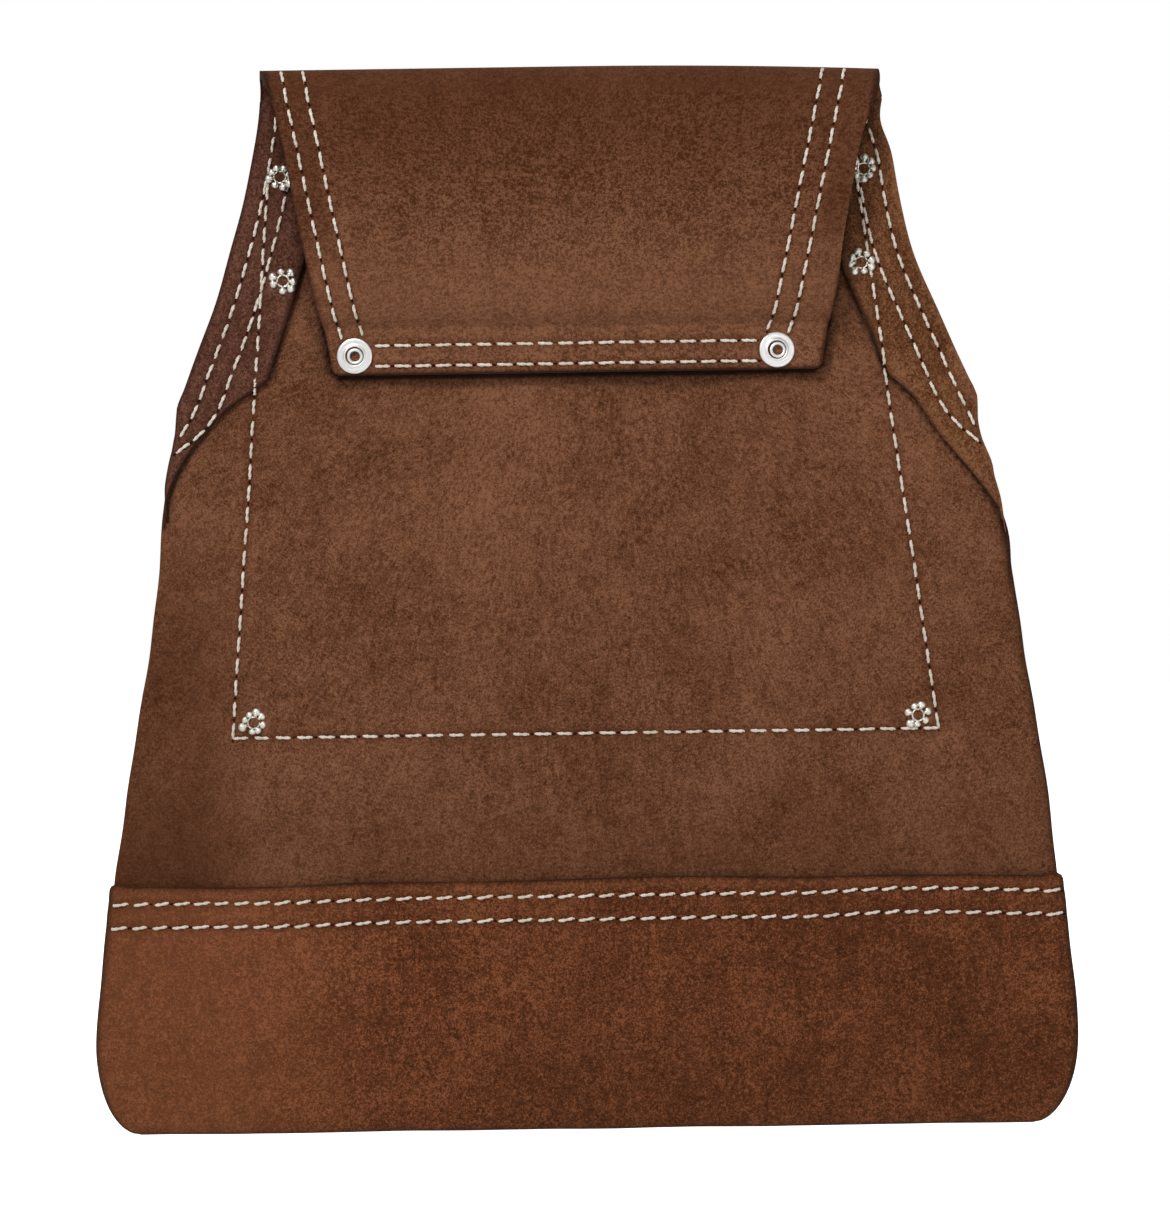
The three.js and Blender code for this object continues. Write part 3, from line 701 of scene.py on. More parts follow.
def backPanel():
    s = np.concatenate([
        bodyRows(marks["foldStart"]),
        rowsFor(marks["foldStart"], marks["flapStart"], 1.5)[1:],
        rowsFor(marks["flapStart"], marks["tipEnd"] - 5)[1:],
        rowsFor(marks["tipEnd"] - 5, marks["tipEnd"], 0.5)[1:],
    ])[:, None]
    even = np.linspace(-1, 1, 171)
    u = mix(even, np.sin(even * 1.45) / math.sin(1.45), 0.35)[None, :]
    onBody = s <= marks["foldStart"]
    wander = np.where(u < 0, wobble(s, 1.0), wobble(s, 4.0)) * ramp(s / 40)
    wander = wander + sideBulge(u, s) * onBody + flapBulge(u, s) * ~onBody
    x = u * (roundedEdge(s) + wander * np.abs(u) ** 6)
    onFlap = s > marks["flapStart"]
    pressed = np.maximum.reduce([nearLine(x, s, run, grooveReach) for run in seamRuns]) * onBody
    for line in [*flapLines.values(), *tipLines.values()]:
        pressed = np.maximum(pressed, nearLine(x, s, line, grooveReach) * ~onBody)
    level = np.where(onBody, -wave(x, s) * ramp((marks["foldStart"] - s) / 30), flapLevel(x, s))
    raised = level - grooveDepth * pressed * np.where(onBody, 1, -1)
    roll = np.where(onBody, rollOut(x, s, edgeAt(s)), 0)
    grid = onBend(x, s, raised)
    grid[..., 1] += roll
    # darker in the stitch rows; painted shade along the borders, at the flap's top by the fold and low on the
    # body; darker towards the body's left and along the flap's side margins; painted light low on the flap
    # and at its tip edge; painted shadow lines under the flap and beside the strips
    rim = roundedEdge(s) - np.abs(x)
    fromTip = marks["tipEnd"] - s
    foldTop = (marks["foldStart"] + marks["flapStart"]) / 2
    # painted shade: the flap's top by the fold is darker
    foldShade = 0.9 * np.exp(-(np.maximum(s - foldTop - 8, 0) / 40) ** 2) * (s > foldTop - 12)
    # painted shade towards the bottom of the body, and darker towards its left side
    lowBody = 0.34 * ramp((110 - s) / 30) + 0.62 * ramp((-x - 90) / 25) * ramp((200 - s) / 60)
    # painted shade along the borders, over the stitch-groove darkening
    shade = np.maximum(0.7 * pressed, 0.6 * ramp(1 - np.minimum(rim, fromTip) / 3))
    shade = np.maximum(np.maximum(shade, foldShade), lowBody * onBody)
    margin = 0.85 * ramp((strip["width"] - 6 - rim) / 8) * ramp((fromTip - 22) / 30)
    shade = np.maximum(shade, margin * onFlap)
    # painted light low on the flap, where it faces down
    lightened = 0.9 * np.exp(-((fromTip - 22) / 20) ** 2) * onFlap
    # painted highlight along the flap's tip edge
    lightened = np.maximum(lightened, 0.6 * ramp(1 - np.abs(fromTip - 2.2) / 1.2))
    # painted shadow of the flap, and beside the strips' inner edges
    shadow = np.maximum(flapShadow(x, s), stripShadow(x, s)) * onBody
    # near-black painted shade line along the borders
    shadow = np.maximum(shadow, 0.75 * ramp(1 - np.minimum(rim, fromTip) / 0.9))
    return sheetPiece("backPanel", grid, hide["thickness"], suede["hide"],
                      {"pressed": shade, "lightened": lightened + 0 * x, "shadow": shadow,
                       "coarse": 0.7 * onFlap + 0 * x},
                      replaces=["back_panel"])


def edgeStrip(name, sign):
    tailEnd = float(tailOf(sign))
    s = np.concatenate([
        rowsFor(tailEnd, marks["foldStart"], 1.6),
        rowsFor(marks["foldStart"], marks["flapStart"], 1.5)[1:],
        rowsFor(marks["flapStart"], marks["tipEnd"] - 0.5, 2.2)[1:],
    ])[:, None]
    u = np.linspace(0, 1, 15)[None, :]
    onBody = s <= marks["foldStart"]
    inner = stripInner(s, sign) + wobble(s, 2.0 + sign)
    outer = edgeAt(s) + np.where(onBody, 0.35 + sideBulge(sign, s), -0.6 + flapBulge(sign, s))
    outer = outer + wobble(s, 7.0 + sign) * 0.5 - 1.3 * ramp(1 - (s - tailEnd) / 12)
    inner = np.minimum(inner, outer - 0.3)
    x = sign * mix(inner, outer, u)
    pressed = np.zeros(x.shape)
    for row in edgeInsets:
        pressed = np.maximum(pressed, nearLine(x, s, edgeLines[name, row], grooveReach))
    for run in seamRuns:
        pressed = np.maximum(pressed, nearLine(x, s, run, grooveReach))
    pressed = pressed * onBody
    middle = hide["thickness"] / 2 + hide["gap"] + hide["stripThickness"] / 2
    wavy = -wave(x, s) * ramp((marks["foldStart"] - s) / 30) * onBody
    grid = onBend(x, s, middle + wavy - grooveDepth * pressed)
    atSide = onBody & (s < body["shoulderHeight"] + 4)
    grid[..., 1] += np.where(atSide, rollOut(x, np.full_like(s, 100), edgeAt(s)), 0)
    rim = np.minimum(np.abs(x) - inner, outer - np.abs(x))
    rim = rim + 4 * ramp(1 - (outer - np.abs(x)) / 3) * (sign > 0)
    # painted highlight just inside the strip's inner edge, and the paler fuzzy cut edge at its outer border,
    # mostly on the right strip
    rimLightAndFuzz = np.maximum(ramp(1 - np.abs(np.abs(x) - inner - 1.6) / 1.2),
                      1.3 * ramp(1 - (outer - np.abs(x)) / 1.6)) * (0.2 if sign < 0 else 0.7)
    # painted shade along the strip's borders, over the stitch-groove darkening
    shade = np.maximum(0.7 * pressed, 0.5 * ramp(1 - rim / 2.5))
    # painted shadow of the flap, and a near-black painted shade line along the borders
    shadow = np.maximum(flapShadow(x, s) * onBody, 0.6 * ramp(1 - rim / 0.7))
    return sheetPiece(name + "EdgeStrip", grid, hide["stripThickness"], suede["strip" + name.capitalize()],
                      {"pressed": shade, "lightened": rimLightAndFuzz, "shadow": shadow},
                      flip=sign < 0,
                      replaces=[name + "_edge_strip"])


def tipStrip():
    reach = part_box("flap_tip_strip")[1].x * 1000
    top = marks["tipEnd"] - strip["width"]
    s = rowsFor(top, marks["tipEnd"] - 0.4, 1.6)[:, None]
    x = np.linspace(-reach, reach, 60)[None, :] * np.ones_like(s)
    middle = hide["thickness"] / 2 + hide["gap"] + hide["stripThickness"] / 2
    grid = onBend(x, s, middle + 0.1 * np.sin(x / 9))
    return sheetPiece("flapTipStrip", grid, hide["stripThickness"], suede["stripRight"], {},
                      flip=True,
                      replaces=["flap_tip_strip"])


def lowerLevel(x, z, depth):
    # the lower panel's own swell, for a layer at this depth in it
    between = 0.3 * np.exp(-((z - np.mean(list(lowerRows.values()))) / 2.4) ** 2)
    belly = 0.9 * np.sin(np.clip(z / 60, 0, 1) * math.pi) * (1 - (x / 150) ** 2)
    return wave(x, z) * 0.8 - belly * 0.6 - between - hide["gap"] - depth


def lowerPanelBack():
    z = np.concatenate([bodyRows(lowerPanelTop - 4), rowsFor(lowerPanelTop - 4, lowerPanelTop, 0.6)[1:]])
    z = z[:, None]
    into = np.clip((z - lowerPanelTop) / 1.6 + 1, 0, 1)
    reach = halfWidth(z) + (lowerHigh.x - backHigh.x) * 1000 - 1.6 * (1 - np.sqrt(1 - into**2))
    u = np.linspace(-1, 1, 150)[None, :]
    reach = reach + np.where(u < 0, wobble(z, 3.0), wobble(z, 5.0)) * 0.6 + sideBulge(u, z)
    x = u * reach
    top = lowerPanelTop + 0.5 * np.sin(x / 41 + 1) + 0.25 * np.sin(x / 13)
    z = z + (top - lowerPanelTop) * ramp((z - lowerPanelTop + 20) / 20)
    pressed = np.zeros(x.shape)
    for height in lowerRows.values():
        pressed = np.maximum(pressed, ramp(1 - np.abs(z - height - rowWander(x)) / grooveReach))
    y = lowerLevel(x, z, hide["thickness"] / 2) + grooveDepth * pressed + rollOut(x, z, reach) * 1.25
    grid = np.stack(np.broadcast_arrays(x, y, z), -1)
    outline = np.minimum(np.minimum(reach - np.abs(x), z), top - z)
    # painted shade along the borders, over the stitch-groove darkening
    shade = np.maximum(0.7 * pressed, 0.55 * ramp(1 - outline / 3))
    # darker towards the right side, and painted shade towards the bottom
    shade = np.maximum(shade, 0.22 * ramp((x + 60) / 60) + 0.16 * ramp((40 - z) / 25))
    # paler band just below the top edge, and paler towards the left
    lightened = np.maximum(0.5 * ramp(1 - np.abs(top - z - 2) / 1.5), 0.85 * ramp((-x - 45) / 70))
    # near-black painted shade line along the borders
    shadow = 0.75 * ramp(1 - outline / 0.9)
    return sheetPiece("backLowerPanel", grid, hide["thickness"], suede["lower"],
                      {"pressed": shade, "lightened": lightened, "shadow": shadow},
                      replaces=["back_lower_panel"])


backPanel()
for sideName, sideSign in sides:
    edgeStrip(sideName, sideSign)
tipStrip()
lowerPanelBack()
print("back leathers made")


# Front of the pouch.

front = {
    "depth": 40,
    "mouthExtra": 6,
    "bottomCurl": 32,
    "mouthCentre": 0.541 * body["height"],
    "mouthPower": 2.5,
    "sectionPower": 1.2,
    "inset": 0.9 + hide["thickness"],
    "columns": 150,
}
insideFace = hide["thickness"] + hide["gap"]


def mouthHeight(turn):
    return mix(front["mouthCentre"], body["shoulderHeight"], np.abs(np.sin(turn)) ** front["mouthPower"])


def onFront(turn, height, inset):
    curl = np.where(height < front["bottomCurl"],
                    np.arccos(np.clip(1 - height / front["bottomCurl"], -1, 1)), math.pi / 2)
    z = np.where(height < front["bottomCurl"],
                 mix(inset, front["bottomCurl"], height / front["bottomCurl"]), height)
    rise = ramp((height - front["bottomCurl"]) / (front["mouthCentre"] - front["bottomCurl"]))
    depth = front["depth"] + front["mouthExtra"] * rise - inset
    section = np.clip(np.cos(turn), 0, 1) ** front["sectionPower"]
    across = np.sin(turn)
    x = (halfWidth(z) - inset) * across + np.sign(across) * sideBulge(across, z) * np.abs(across) ** 3
    return np.stack(np.broadcast_arrays(x, insideFace + depth * np.sin(curl) * section, z), -1)


def frontWave(turn, height):
    span = np.sin(turn) * 130
    inner = np.cos(turn) ** 0.5
    slow = 1.3 * np.sin(span / 37 + height / 61 + 0.6) + 0.8 * np.sin(span / 23 - height / 34)
    quick = 0.35 * np.sin(span / 11 + height / 17 + 2)
    return (slow + quick) * inner * ramp(height / 40)


def frontSheet(name, heights, middleInset, thickness, look, pressed, lightened, replaces):
    turns = np.linspace(-math.pi / 2, math.pi / 2, front["columns"])
    tall = np.stack([heights(t) for t in turns], 1)
    turn = np.broadcast_to(turns[None, :], tall.shape)
    inset = middleInset + frontWave(turn, tall) + pressed(turn, tall) * grooveDepth
    grid = onFront(turn, tall, inset)
    masks = {"pressed": pressed(turn, tall), "lightened": lightened(turn, tall)}
    return sheetPiece(name, grid, thickness, look, masks,
                      flip=True, replaces=replaces)


def nearRows(turn, tall, rows):
    found = np.zeros(tall.shape)
    for row in rows:
        found = np.maximum(found, ramp(1 - np.abs(tall - row) / grooveReach))
    return found


def mouthRows(turn, tall):
    return nearRows(turn, tall, [mouthHeight(turn) - inset for inset in edgeInsets.values()])


curl = front["bottomCurl"] * (1 - np.cos(np.linspace(0, math.pi / 2, 20)))
half = hide["thickness"] / 2
frontSheet(
    "frontPanel",
    lambda t: np.concatenate([curl, np.linspace(front["bottomCurl"], mouthHeight(t), 70)[1:]]),
    front["inset"] + half, hide["thickness"], suede["hide"],
    lambda t, h: nearRows(t, h, [lowerPanelTop]) * 0.4,
    lambda t, h: 0.4 * ramp(1 - (mouthHeight(t) - h) / 2.5),
    ["front_panel"])
frontSheet(
    "frontLowerPanel",
    lambda t: np.concatenate([curl, np.linspace(front["bottomCurl"], lowerPanelTop, 22)[1:]]),
    half, hide["thickness"], suede["lower"],
    lambda t, h: nearRows(t, h, list(lowerRows.values())),
    lambda t, h: 0.4 * ramp(1 - (lowerPanelTop - h) / 1.6),
    ["front_lower_panel"])
frontSheet(
    "mouthStrip",
    lambda t: np.linspace(mouthHeight(t) - strip["width"], mouthHeight(t) + 0.3, 16),
    front["inset"] - hide["gap"] - hide["stripThickness"] / 2, hide["stripThickness"], suede["stripRight"],
    mouthRows,
    lambda t, h: 0.45 * np.maximum(ramp(1 - (mouthHeight(t) - h) / 1.6),
                                   ramp(1 - (h - mouthHeight(t) + strip["width"]) / 1.6)),
    ["mouth_strip"])


def innerPocket():
    low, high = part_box("inner_pocket")
    bottom = low.z * 1000 - originShift[2]
    top = high.z * 1000 - originShift[2]
    bulge = (high.y - low.y) * 1000 - 1.8
    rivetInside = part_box("right_second_rivet")[0].x * 1000
    rim = (rivetInside - 0.3) / (seamHalfWidth(body["height"] - 59) + 6)
    z = rowsFor(bottom, top)[:, None]
    u = np.linspace(-1, 1, 106)[None, :]
    up = (z - bottom) / (top - bottom)
    swell = bulge * ramp((1 - np.abs(u) / rim) / 0.4) * ramp((up - 0.08) / 0.34)
    swell = swell * (1 - 0.35 * ramp((up - 0.8) / 0.2) * np.cos(u * 1.5) ** 2)
    x = u * (seamHalfWidth(z) + 6)
    pressed = np.maximum.reduce([nearLine(x, z + x * 0, run, grooveReach) for run in seamRuns])
    y = insideFace + 0.9 + swell + wave(x, z) * 0.5 - pressed * 0.2 + 0 * x
    grid = np.stack(np.broadcast_arrays(x, y, z), -1)
    lightened = 0.4 * ramp(1 - (top - z) / 2) + 0 * x
    return sheetPiece("innerPocket", grid, 1.8, suede["pocket"],
                      {"pressed": pressed, "lightened": lightened},
                      flip=True, replaces=["inner_pocket"])


innerPocket()
print("front leathers made")


# Stitches: one tree lays them along a row.

stitch = {
    "length": 4.5,
    "pitch": 6.05,
    "seamPitch": 6.35,
    "threadRadius": 0.52,
    "rise": 0.52,
    "sink": 0.6,
    "twist": 9.0,
    "holeLength": 0.62,
    "holeWidth": 0.42,
    "holeDepth": 0.08,
    "lean": 0.045,               # each stitch turns by up to this much either way
    "lengthRange": (0.9, 1.06),
    "flattened": (1.12, 0.74, 1.0),
    "handleShare": 0.82,
    "handleRise": 1.6,
}


def makeStitchTree():
    sizes = ("Stitch Length", "Pitch", "Thread Radius", "Rise", "Sink", "Twist", "Slant", "Hole Length",
             "Hole Width")
    inputs = [("Row", "Geometry", None)] + [(label, "Float", None) for label in sizes]
    inputs += [("Seed", "Int", None), ("Thread", "Material", None), ("Hole", "Material", None)]
    tree, w, source, result = newGroup("stitchRow", "GeometryNodeTree", inputs, [("Stitches", "Geometry")])

    # the row, cut into equal steps that keep the leather's own normal
    row = w.add("GeometryNodeMeshToCurve", {"Mesh": source["Row"]})
    steps = w.add("GeometryNodeResampleCurve", {"Curve": row.outputs["Curve"], "Length": source["Pitch"]},
                  mode="LENGTH").outputs["Curve"]
    normal = w.add("GeometryNodeInputNamedAttribute", {"Name": "leatherNormal"}, data_type="FLOAT_VECTOR")
    tangent = w.add("GeometryNodeInputTangent")
    upright = w.add("FunctionNodeAlignRotationToVector", {"Vector": normal.outputs["Attribute"]}, axis="Z")
    along = w.add("FunctionNodeAlignRotationToVector",
                  {"Rotation": upright.outputs["Rotation"], "Vector": tangent.outputs["Tangent"]},
                  axis="X", pivot_axis="Z").outputs["Rotation"]
    jitter = w.between(-stitch["lean"], stitch["lean"], source["Seed"])
    lean = w.add("FunctionNodeEulerToRotation", {"Euler": w.vector(z=w.math("ADD", source["Slant"], jitter))})
    turned = w.add("FunctionNodeRotateRotation", {"Rotation": along, "Rotate By": lean.outputs["Rotation"]},
                   rotation_space="LOCAL")
    stretch = w.between(*stitch["lengthRange"], w.math("ADD", source["Seed"], 17))

    # one stitch: a two-ply cord that rises out of one hole and dives into the next
    halfLength = w.math("MULTIPLY", source["Stitch Length"], 0.5)
    down = w.math("MULTIPLY", source["Sink"], -1.0)
    up = w.math("MULTIPLY", source["Rise"], stitch["handleRise"])
    places = {"Start": (-1.0, down), "Start Handle": (-stitch["handleShare"], up),
              "End Handle": (stitch["handleShare"], up), "End": (1.0, down)}
    arch = w.add("GeometryNodeCurvePrimitiveBezierSegment", {"Resolution": 8} | {
        label: w.vector(x=w.math("MULTIPLY", halfLength, reach), z=height)
        for label, (reach, height) in places.items()})
    share = w.add("GeometryNodeSplineParameter").outputs["Factor"]
    tilt = w.add("GeometryNodeSetCurveTilt", {"Curve": arch.outputs["Curve"],
                                              "Tilt": w.math("MULTIPLY", share, source["Twist"])})
    ply = w.add("GeometryNodeCurvePrimitiveCircle", {"Resolution": 6, "Radius": source["Thread Radius"]},
                mode="RADIUS")
    flat = w.add("GeometryNodeTransform", {"Geometry": ply.outputs["Curve"], "Scale": stitch["flattened"]})
    cord = w.add("GeometryNodeCurveToMesh", {"Curve": tilt.outputs["Curve"], "Fill Caps": True,
                                             "Profile Curve": flat.outputs["Geometry"]})
    laid = w.add("GeometryNodeInstanceOnPoints", {"Points": steps, "Instance": cord.outputs["Mesh"],
                                                  "Rotation": turned.outputs["Rotation"],
                                                  "Scale": w.vector(stretch, 1, 1)})

    # a flat dark disc between one stitch and the next, as painted shade of the needle hole
    hole = w.add("GeometryNodeMeshUVSphere", {"Segments": 8, "Rings": 3, "Radius": 1.0})
    squashed = w.add("GeometryNodeTransform", {
        "Geometry": hole.outputs["Mesh"],
        "Scale": w.vector(source["Hole Length"], source["Hole Width"], stitch["holeDepth"] * 0.001),
        "Translation": w.vector(x=w.math("MULTIPLY", source["Pitch"], 0.5))})
    holes = w.add("GeometryNodeInstanceOnPoints", {"Points": steps, "Instance": squashed.outputs["Geometry"],
                                                   "Rotation": along})
    marked = w.add("GeometryNodeStoreNamedAttribute",
                   {"Geometry": holes.outputs["Instances"], "Name": "isHole", "Value": True},
                   data_type="BOOLEAN", domain="INSTANCE")

    both = w.add("GeometryNodeJoinGeometry", {"Geometry": laid.outputs["Instances"]})
    w.join(marked.outputs["Geometry"], both.inputs["Geometry"])
    real = w.add("GeometryNodeRealizeInstances", {"Geometry": both.outputs["Geometry"]})
    smooth = w.add("GeometryNodeSetShadeSmooth", {"Geometry": real.outputs["Geometry"]})
    threads = w.add("GeometryNodeSetMaterial", {"Geometry": smooth.outputs["Geometry"],
                                                "Material": source["Thread"]})
    isHole = w.add("GeometryNodeInputNamedAttribute", {"Name": "isHole"}, data_type="BOOLEAN")
    finished = w.add("GeometryNodeSetMaterial", {"Geometry": threads.outputs["Geometry"],
                                                 "Selection": isHole.outputs["Attribute"],
                                                 "Material": source["Hole"]})
    w.join(finished.outputs["Geometry"], result["Stitches"])
    return tree


stitchTree = makeStitchTree()


def runTree(name, mesh, tree, values):
    # what the tree makes of a mesh, as a plain mesh of its own
    carrier = addObject(name + "Maker", mesh)
    maker = carrier.modifiers.new(tree.name, "NODES")
    maker.node_group = tree
    for item in tree.interface.items_tree:
        if item.item_type == "SOCKET" and item.in_out == "INPUT" and item.name in values:
            maker[item.identifier] = values[item.name]
    bpy.context.view_layer.update()
    graph = bpy.context.evaluated_depsgraph_get()
    made = bpy.data.meshes.new_from_object(carrier.evaluated_get(graph), depsgraph=graph)
    made.name = name
    bpy.data.objects.remove(carrier)
    return addObject(name, made)


def stitchRow(name, points, replaces, normals=(0, -1, 0), pitch=None, slant=0.0, seed=1, breaks=()):
    # the points follow each other except at the breaks, where a new run starts
    mesh = bpy.data.meshes.new(name + "Line")
    edges = [(i, i + 1) for i in range(len(points) - 1) if i + 1 not in breaks]
    mesh.from_pydata(toFrame(points).tolist(), edges, [])
    attribute = mesh.attributes.new("leatherNormal", "FLOAT_VECTOR", "POINT")
    attribute.data.foreach_set("vector", np.broadcast_to(normals, points.shape).astype(np.float32).ravel())
    sizes = {
        "Stitch Length": stitch["length"], "Pitch": pitch or stitch["pitch"], "Rise": stitch["rise"],
        "Thread Radius": stitch["threadRadius"], "Sink": stitch["sink"],
        "Hole Length": stitch["holeLength"], "Hole Width": stitch["holeWidth"],
    }
    values = {label: size * 0.001 for label, size in sizes.items()}
    values |= {"Twist": stitch["twist"], "Slant": slant, "Seed": seed, "Thread": threadLook, "Hole": holeShadeLook}
    return finish(runTree(name, mesh, stitchTree, values), replaces)


def resample(line, spacing=1.5):
    # even steps, half a stitch short of both ends
    line = np.asarray(line, float)
    along = np.concatenate([[0], np.cumsum(np.hypot(*np.diff(line, axis=0).T))])
    trim = stitch["length"] / 2
    s = np.linspace(trim, along[-1] - trim, max(2, int(along[-1] / spacing)))
    return np.column_stack([np.interp(s, along, line[:, 0]), np.interp(s, along, line[:, 1])])


def faceOnBack(x, z):
    # outer face of what lies on top there: the strip, or the bare panel
    over = np.abs(x) - stripInner(z, x)
    stripY = -(hide["gap"] + hide["stripThickness"]) * ramp((over + 0.8) / 1.6)
    lift = wave(x, z) * ramp((marks["foldStart"] - z) / 30)
    return stripY + lift + grooveDepth * 0.75 + rollOut(x, np.full_like(z, 100), halfWidth(z))


def runOnBack(line):
    xz = resample(line)
    return np.column_stack([xz[:, 0], faceOnBack(xz[:, 0], xz[:, 1]), xz[:, 1]])


seamPoints = [runOnBack(run) for run in seamRuns]
seamBreaks = np.cumsum([len(run) for run in seamPoints])
stitchRow("pocketSeamStitches", np.vstack(seamPoints), ["pocket_seam_thread"],
          pitch=stitch["seamPitch"], seed=3, breaks=set(seamBreaks.tolist()))
for (sideName, row), line in edgeLines.items():
    stitchRow(sideName + row.capitalize() + "EdgeStitches", runOnBack(line),
              [sideName + "_edge_" + row + "_thread"], seed=5)


def stitchFlap(name, line, node, pitch, seed):
    x, s = resample(line).T
    raised = -hide["thickness"] / 2 + grooveDepth * 0.75 + flapLevel(x, s)
    stitchRow(name, onBend(x, s, raised), [node], -bendNormal(s), pitch=pitch, seed=seed)


for (sideName, row), line in flapLines.items():
    stitchFlap(sideName + row.capitalize() + "FlapStitches", line,
               sideName + "_flap_" + row + "_thread", None, 9)
for row, line in tipLines.items():
    stitchFlap("flapTip" + row.capitalize() + "Stitches", line, "flap_tip_" + row + "_thread", 5.9, 13)


def lowerFace(x, z):
    # outer face of the lower panel, in the groove of a row of stitches
    reach = halfWidth(z) + (lowerHigh.x - backHigh.x) * 1000
    return lowerLevel(x, z, hide["thickness"]) + grooveDepth * 0.75 + rollOut(x, z, reach) * 1.25


for row, height in lowerRows.items():
    reach = float(halfWidth(height)) - stitch["length"] / 2
    x = np.linspace(-reach - float(sideBulge(-1, height)), reach + float(sideBulge(1, height)), 190)
    z = height + rowWander(x)
    stitchRow("lowerBack" + row.capitalize() + "Stitches", np.column_stack([x, lowerFace(x, z), z]),
              ["back_lower_" + row + "_thread"], pitch=5.9, slant=0.15, seed=17)


def stitchFront(name, node, heightAt, middleInset, thickness, pitch, seed):
    turn = np.linspace(-math.pi / 2 + 0.06, math.pi / 2 - 0.06, 240)
    height = heightAt(turn)
    inset = middleInset + frontWave(turn, height) - thickness / 2 + grooveDepth * 0.8
    points = onFront(turn, height, inset)
    normals = onFront(turn, height, inset - 1.0) - points
    normals = normals / np.linalg.norm(normals, axis=1)[:, None]
    stitchRow(name, points, [node], normals, pitch=pitch, seed=seed)


for row, inset in edgeInsets.items():
    stitchFront("mouth" + row.capitalize() + "Stitches", "mouth_" + row + "_thread",
                lambda t: mouthHeight(t) - inset, front["inset"] - hide["gap"] - hide["stripThickness"] / 2,
                hide["stripThickness"], None, 21)
for row, height in lowerRows.items():
    stitchFront("lowerFront" + row.capitalize() + "Stitches", "front_lower_" + row + "_thread",
                lambda t: np.full_like(t, height), half, hide["thickness"], 5.9, 25)
print("stitches made")


# Rivets.

burst = {
    "petals": 8,
    "reach": 3.25,
    "hollow": 1.9,
    "petalRadius": 0.5,
    "beadRadius": 1.14,
    "rise": 0.8,
    "beadRise": 0.35,
    "beadStretch": (0.95, 1.12, 0.8),
    "turn": 0.17,                # each petal turns by up to this much either way
    "bendRange": (-0.1, 0.12),
    "sizeRange": (0.82, 1.1),
    "spine": {"Start": (0.0, -0.6), "Start Handle": (0.1, 1.5), "End Handle": (0.75, 1.25),
              "End": (1.0, -0.05)},
    "handSet": {"left_second": (-0.6, -2.0), "right_second": (-0.9, 1.0), "right_upper": (-0.9, 0.0),
                "left_corner": (1.9, 0.0), "right_corner": (0.8, -0.6)},
}


def makePetalTree():
    sizes = ("Reach", "Hollow", "Petal Radius", "Bead Radius", "Rise")
    inputs = [("Start", "Geometry", None), ("Petals", "Int", None), ("Seed", "Int", None)]
    inputs += [(label, "Float", None) for label in sizes] + [("Steel", "Material", None)]
    tree, w, source, result = newGroup("burstPetals", "GeometryNodeTree", inputs, [("Burst", "Geometry")])

    # one petal: up out of the tube, over, and down to a bead-like tip
    span = w.math("SUBTRACT", source["Reach"], source["Hollow"])
    spots = {}
    for label, (reachShare, riseShare) in burst["spine"].items():
        reach = w.math("ADD", source["Hollow"], w.math("MULTIPLY", span, reachShare))
        spots[label] = w.vector(x=reach, z=w.math("MULTIPLY", source["Rise"], riseShare))
    spine = w.add("GeometryNodeCurvePrimitiveBezierSegment", {"Resolution": 8} | spots)
    ring = w.add("GeometryNodeCurvePrimitiveCircle", {"Resolution": 8, "Radius": source["Petal Radius"]},
                 mode="RADIUS")
    tongue = w.add("GeometryNodeCurveToMesh", {"Curve": spine.outputs["Curve"], "Fill Caps": True,
                                               "Profile Curve": ring.outputs["Curve"]})
    bead = w.add("GeometryNodeMeshUVSphere", {"Segments": 12, "Rings": 8, "Radius": source["Bead Radius"]})
    beadRise = w.math("MULTIPLY", source["Rise"], burst["beadRise"])
    curled = w.add("GeometryNodeTransform", {"Geometry": bead.outputs["Mesh"], "Scale": burst["beadStretch"],
                                             "Translation": w.vector(x=source["Reach"], z=beadRise)})
    petal = w.add("GeometryNodeJoinGeometry", {"Geometry": tongue.outputs["Mesh"]})
    w.join(curled.outputs["Geometry"], petal.inputs["Geometry"])

    # the petals stand round the tube, each turned, bent and sized a little differently
    line = w.add("GeometryNodeMeshLine", {"Offset": (0, 0, 0), "Count": source["Petals"]})
    share = w.math("DIVIDE", w.add("GeometryNodeInputIndex").outputs["Index"], source["Petals"])
    turn = w.between(-burst["turn"], burst["turn"], source["Seed"])
    bend = w.between(*burst["bendRange"], w.math("ADD", source["Seed"], 5))
    size = w.between(*burst["sizeRange"], w.math("ADD", source["Seed"], 11))
    angle = w.math("ADD", w.math("MULTIPLY", share, 2 * math.pi), turn)
    laid = w.add("GeometryNodeInstanceOnPoints", {"Points": line.outputs["Mesh"], "Scale": size,
                                                  "Instance": petal.outputs["Geometry"],
                                                  "Rotation": w.vector(y=bend, z=angle)})
    both = w.add("GeometryNodeJoinGeometry", {"Geometry": laid.outputs["Instances"]})
    w.join(source["Start"], both.inputs["Geometry"])
    real = w.add("GeometryNodeRealizeInstances", {"Geometry": both.outputs["Geometry"]})
    smooth = w.add("GeometryNodeSetShadeSmooth", {"Geometry": real.outputs["Geometry"]})
    finished = w.add("GeometryNodeSetMaterial", {"Geometry": smooth.outputs["Geometry"],
                                                 "Material": source["Steel"]})
    w.join(finished.outputs["Geometry"], result["Burst"])
    return tree


petalTree = makePetalTree()


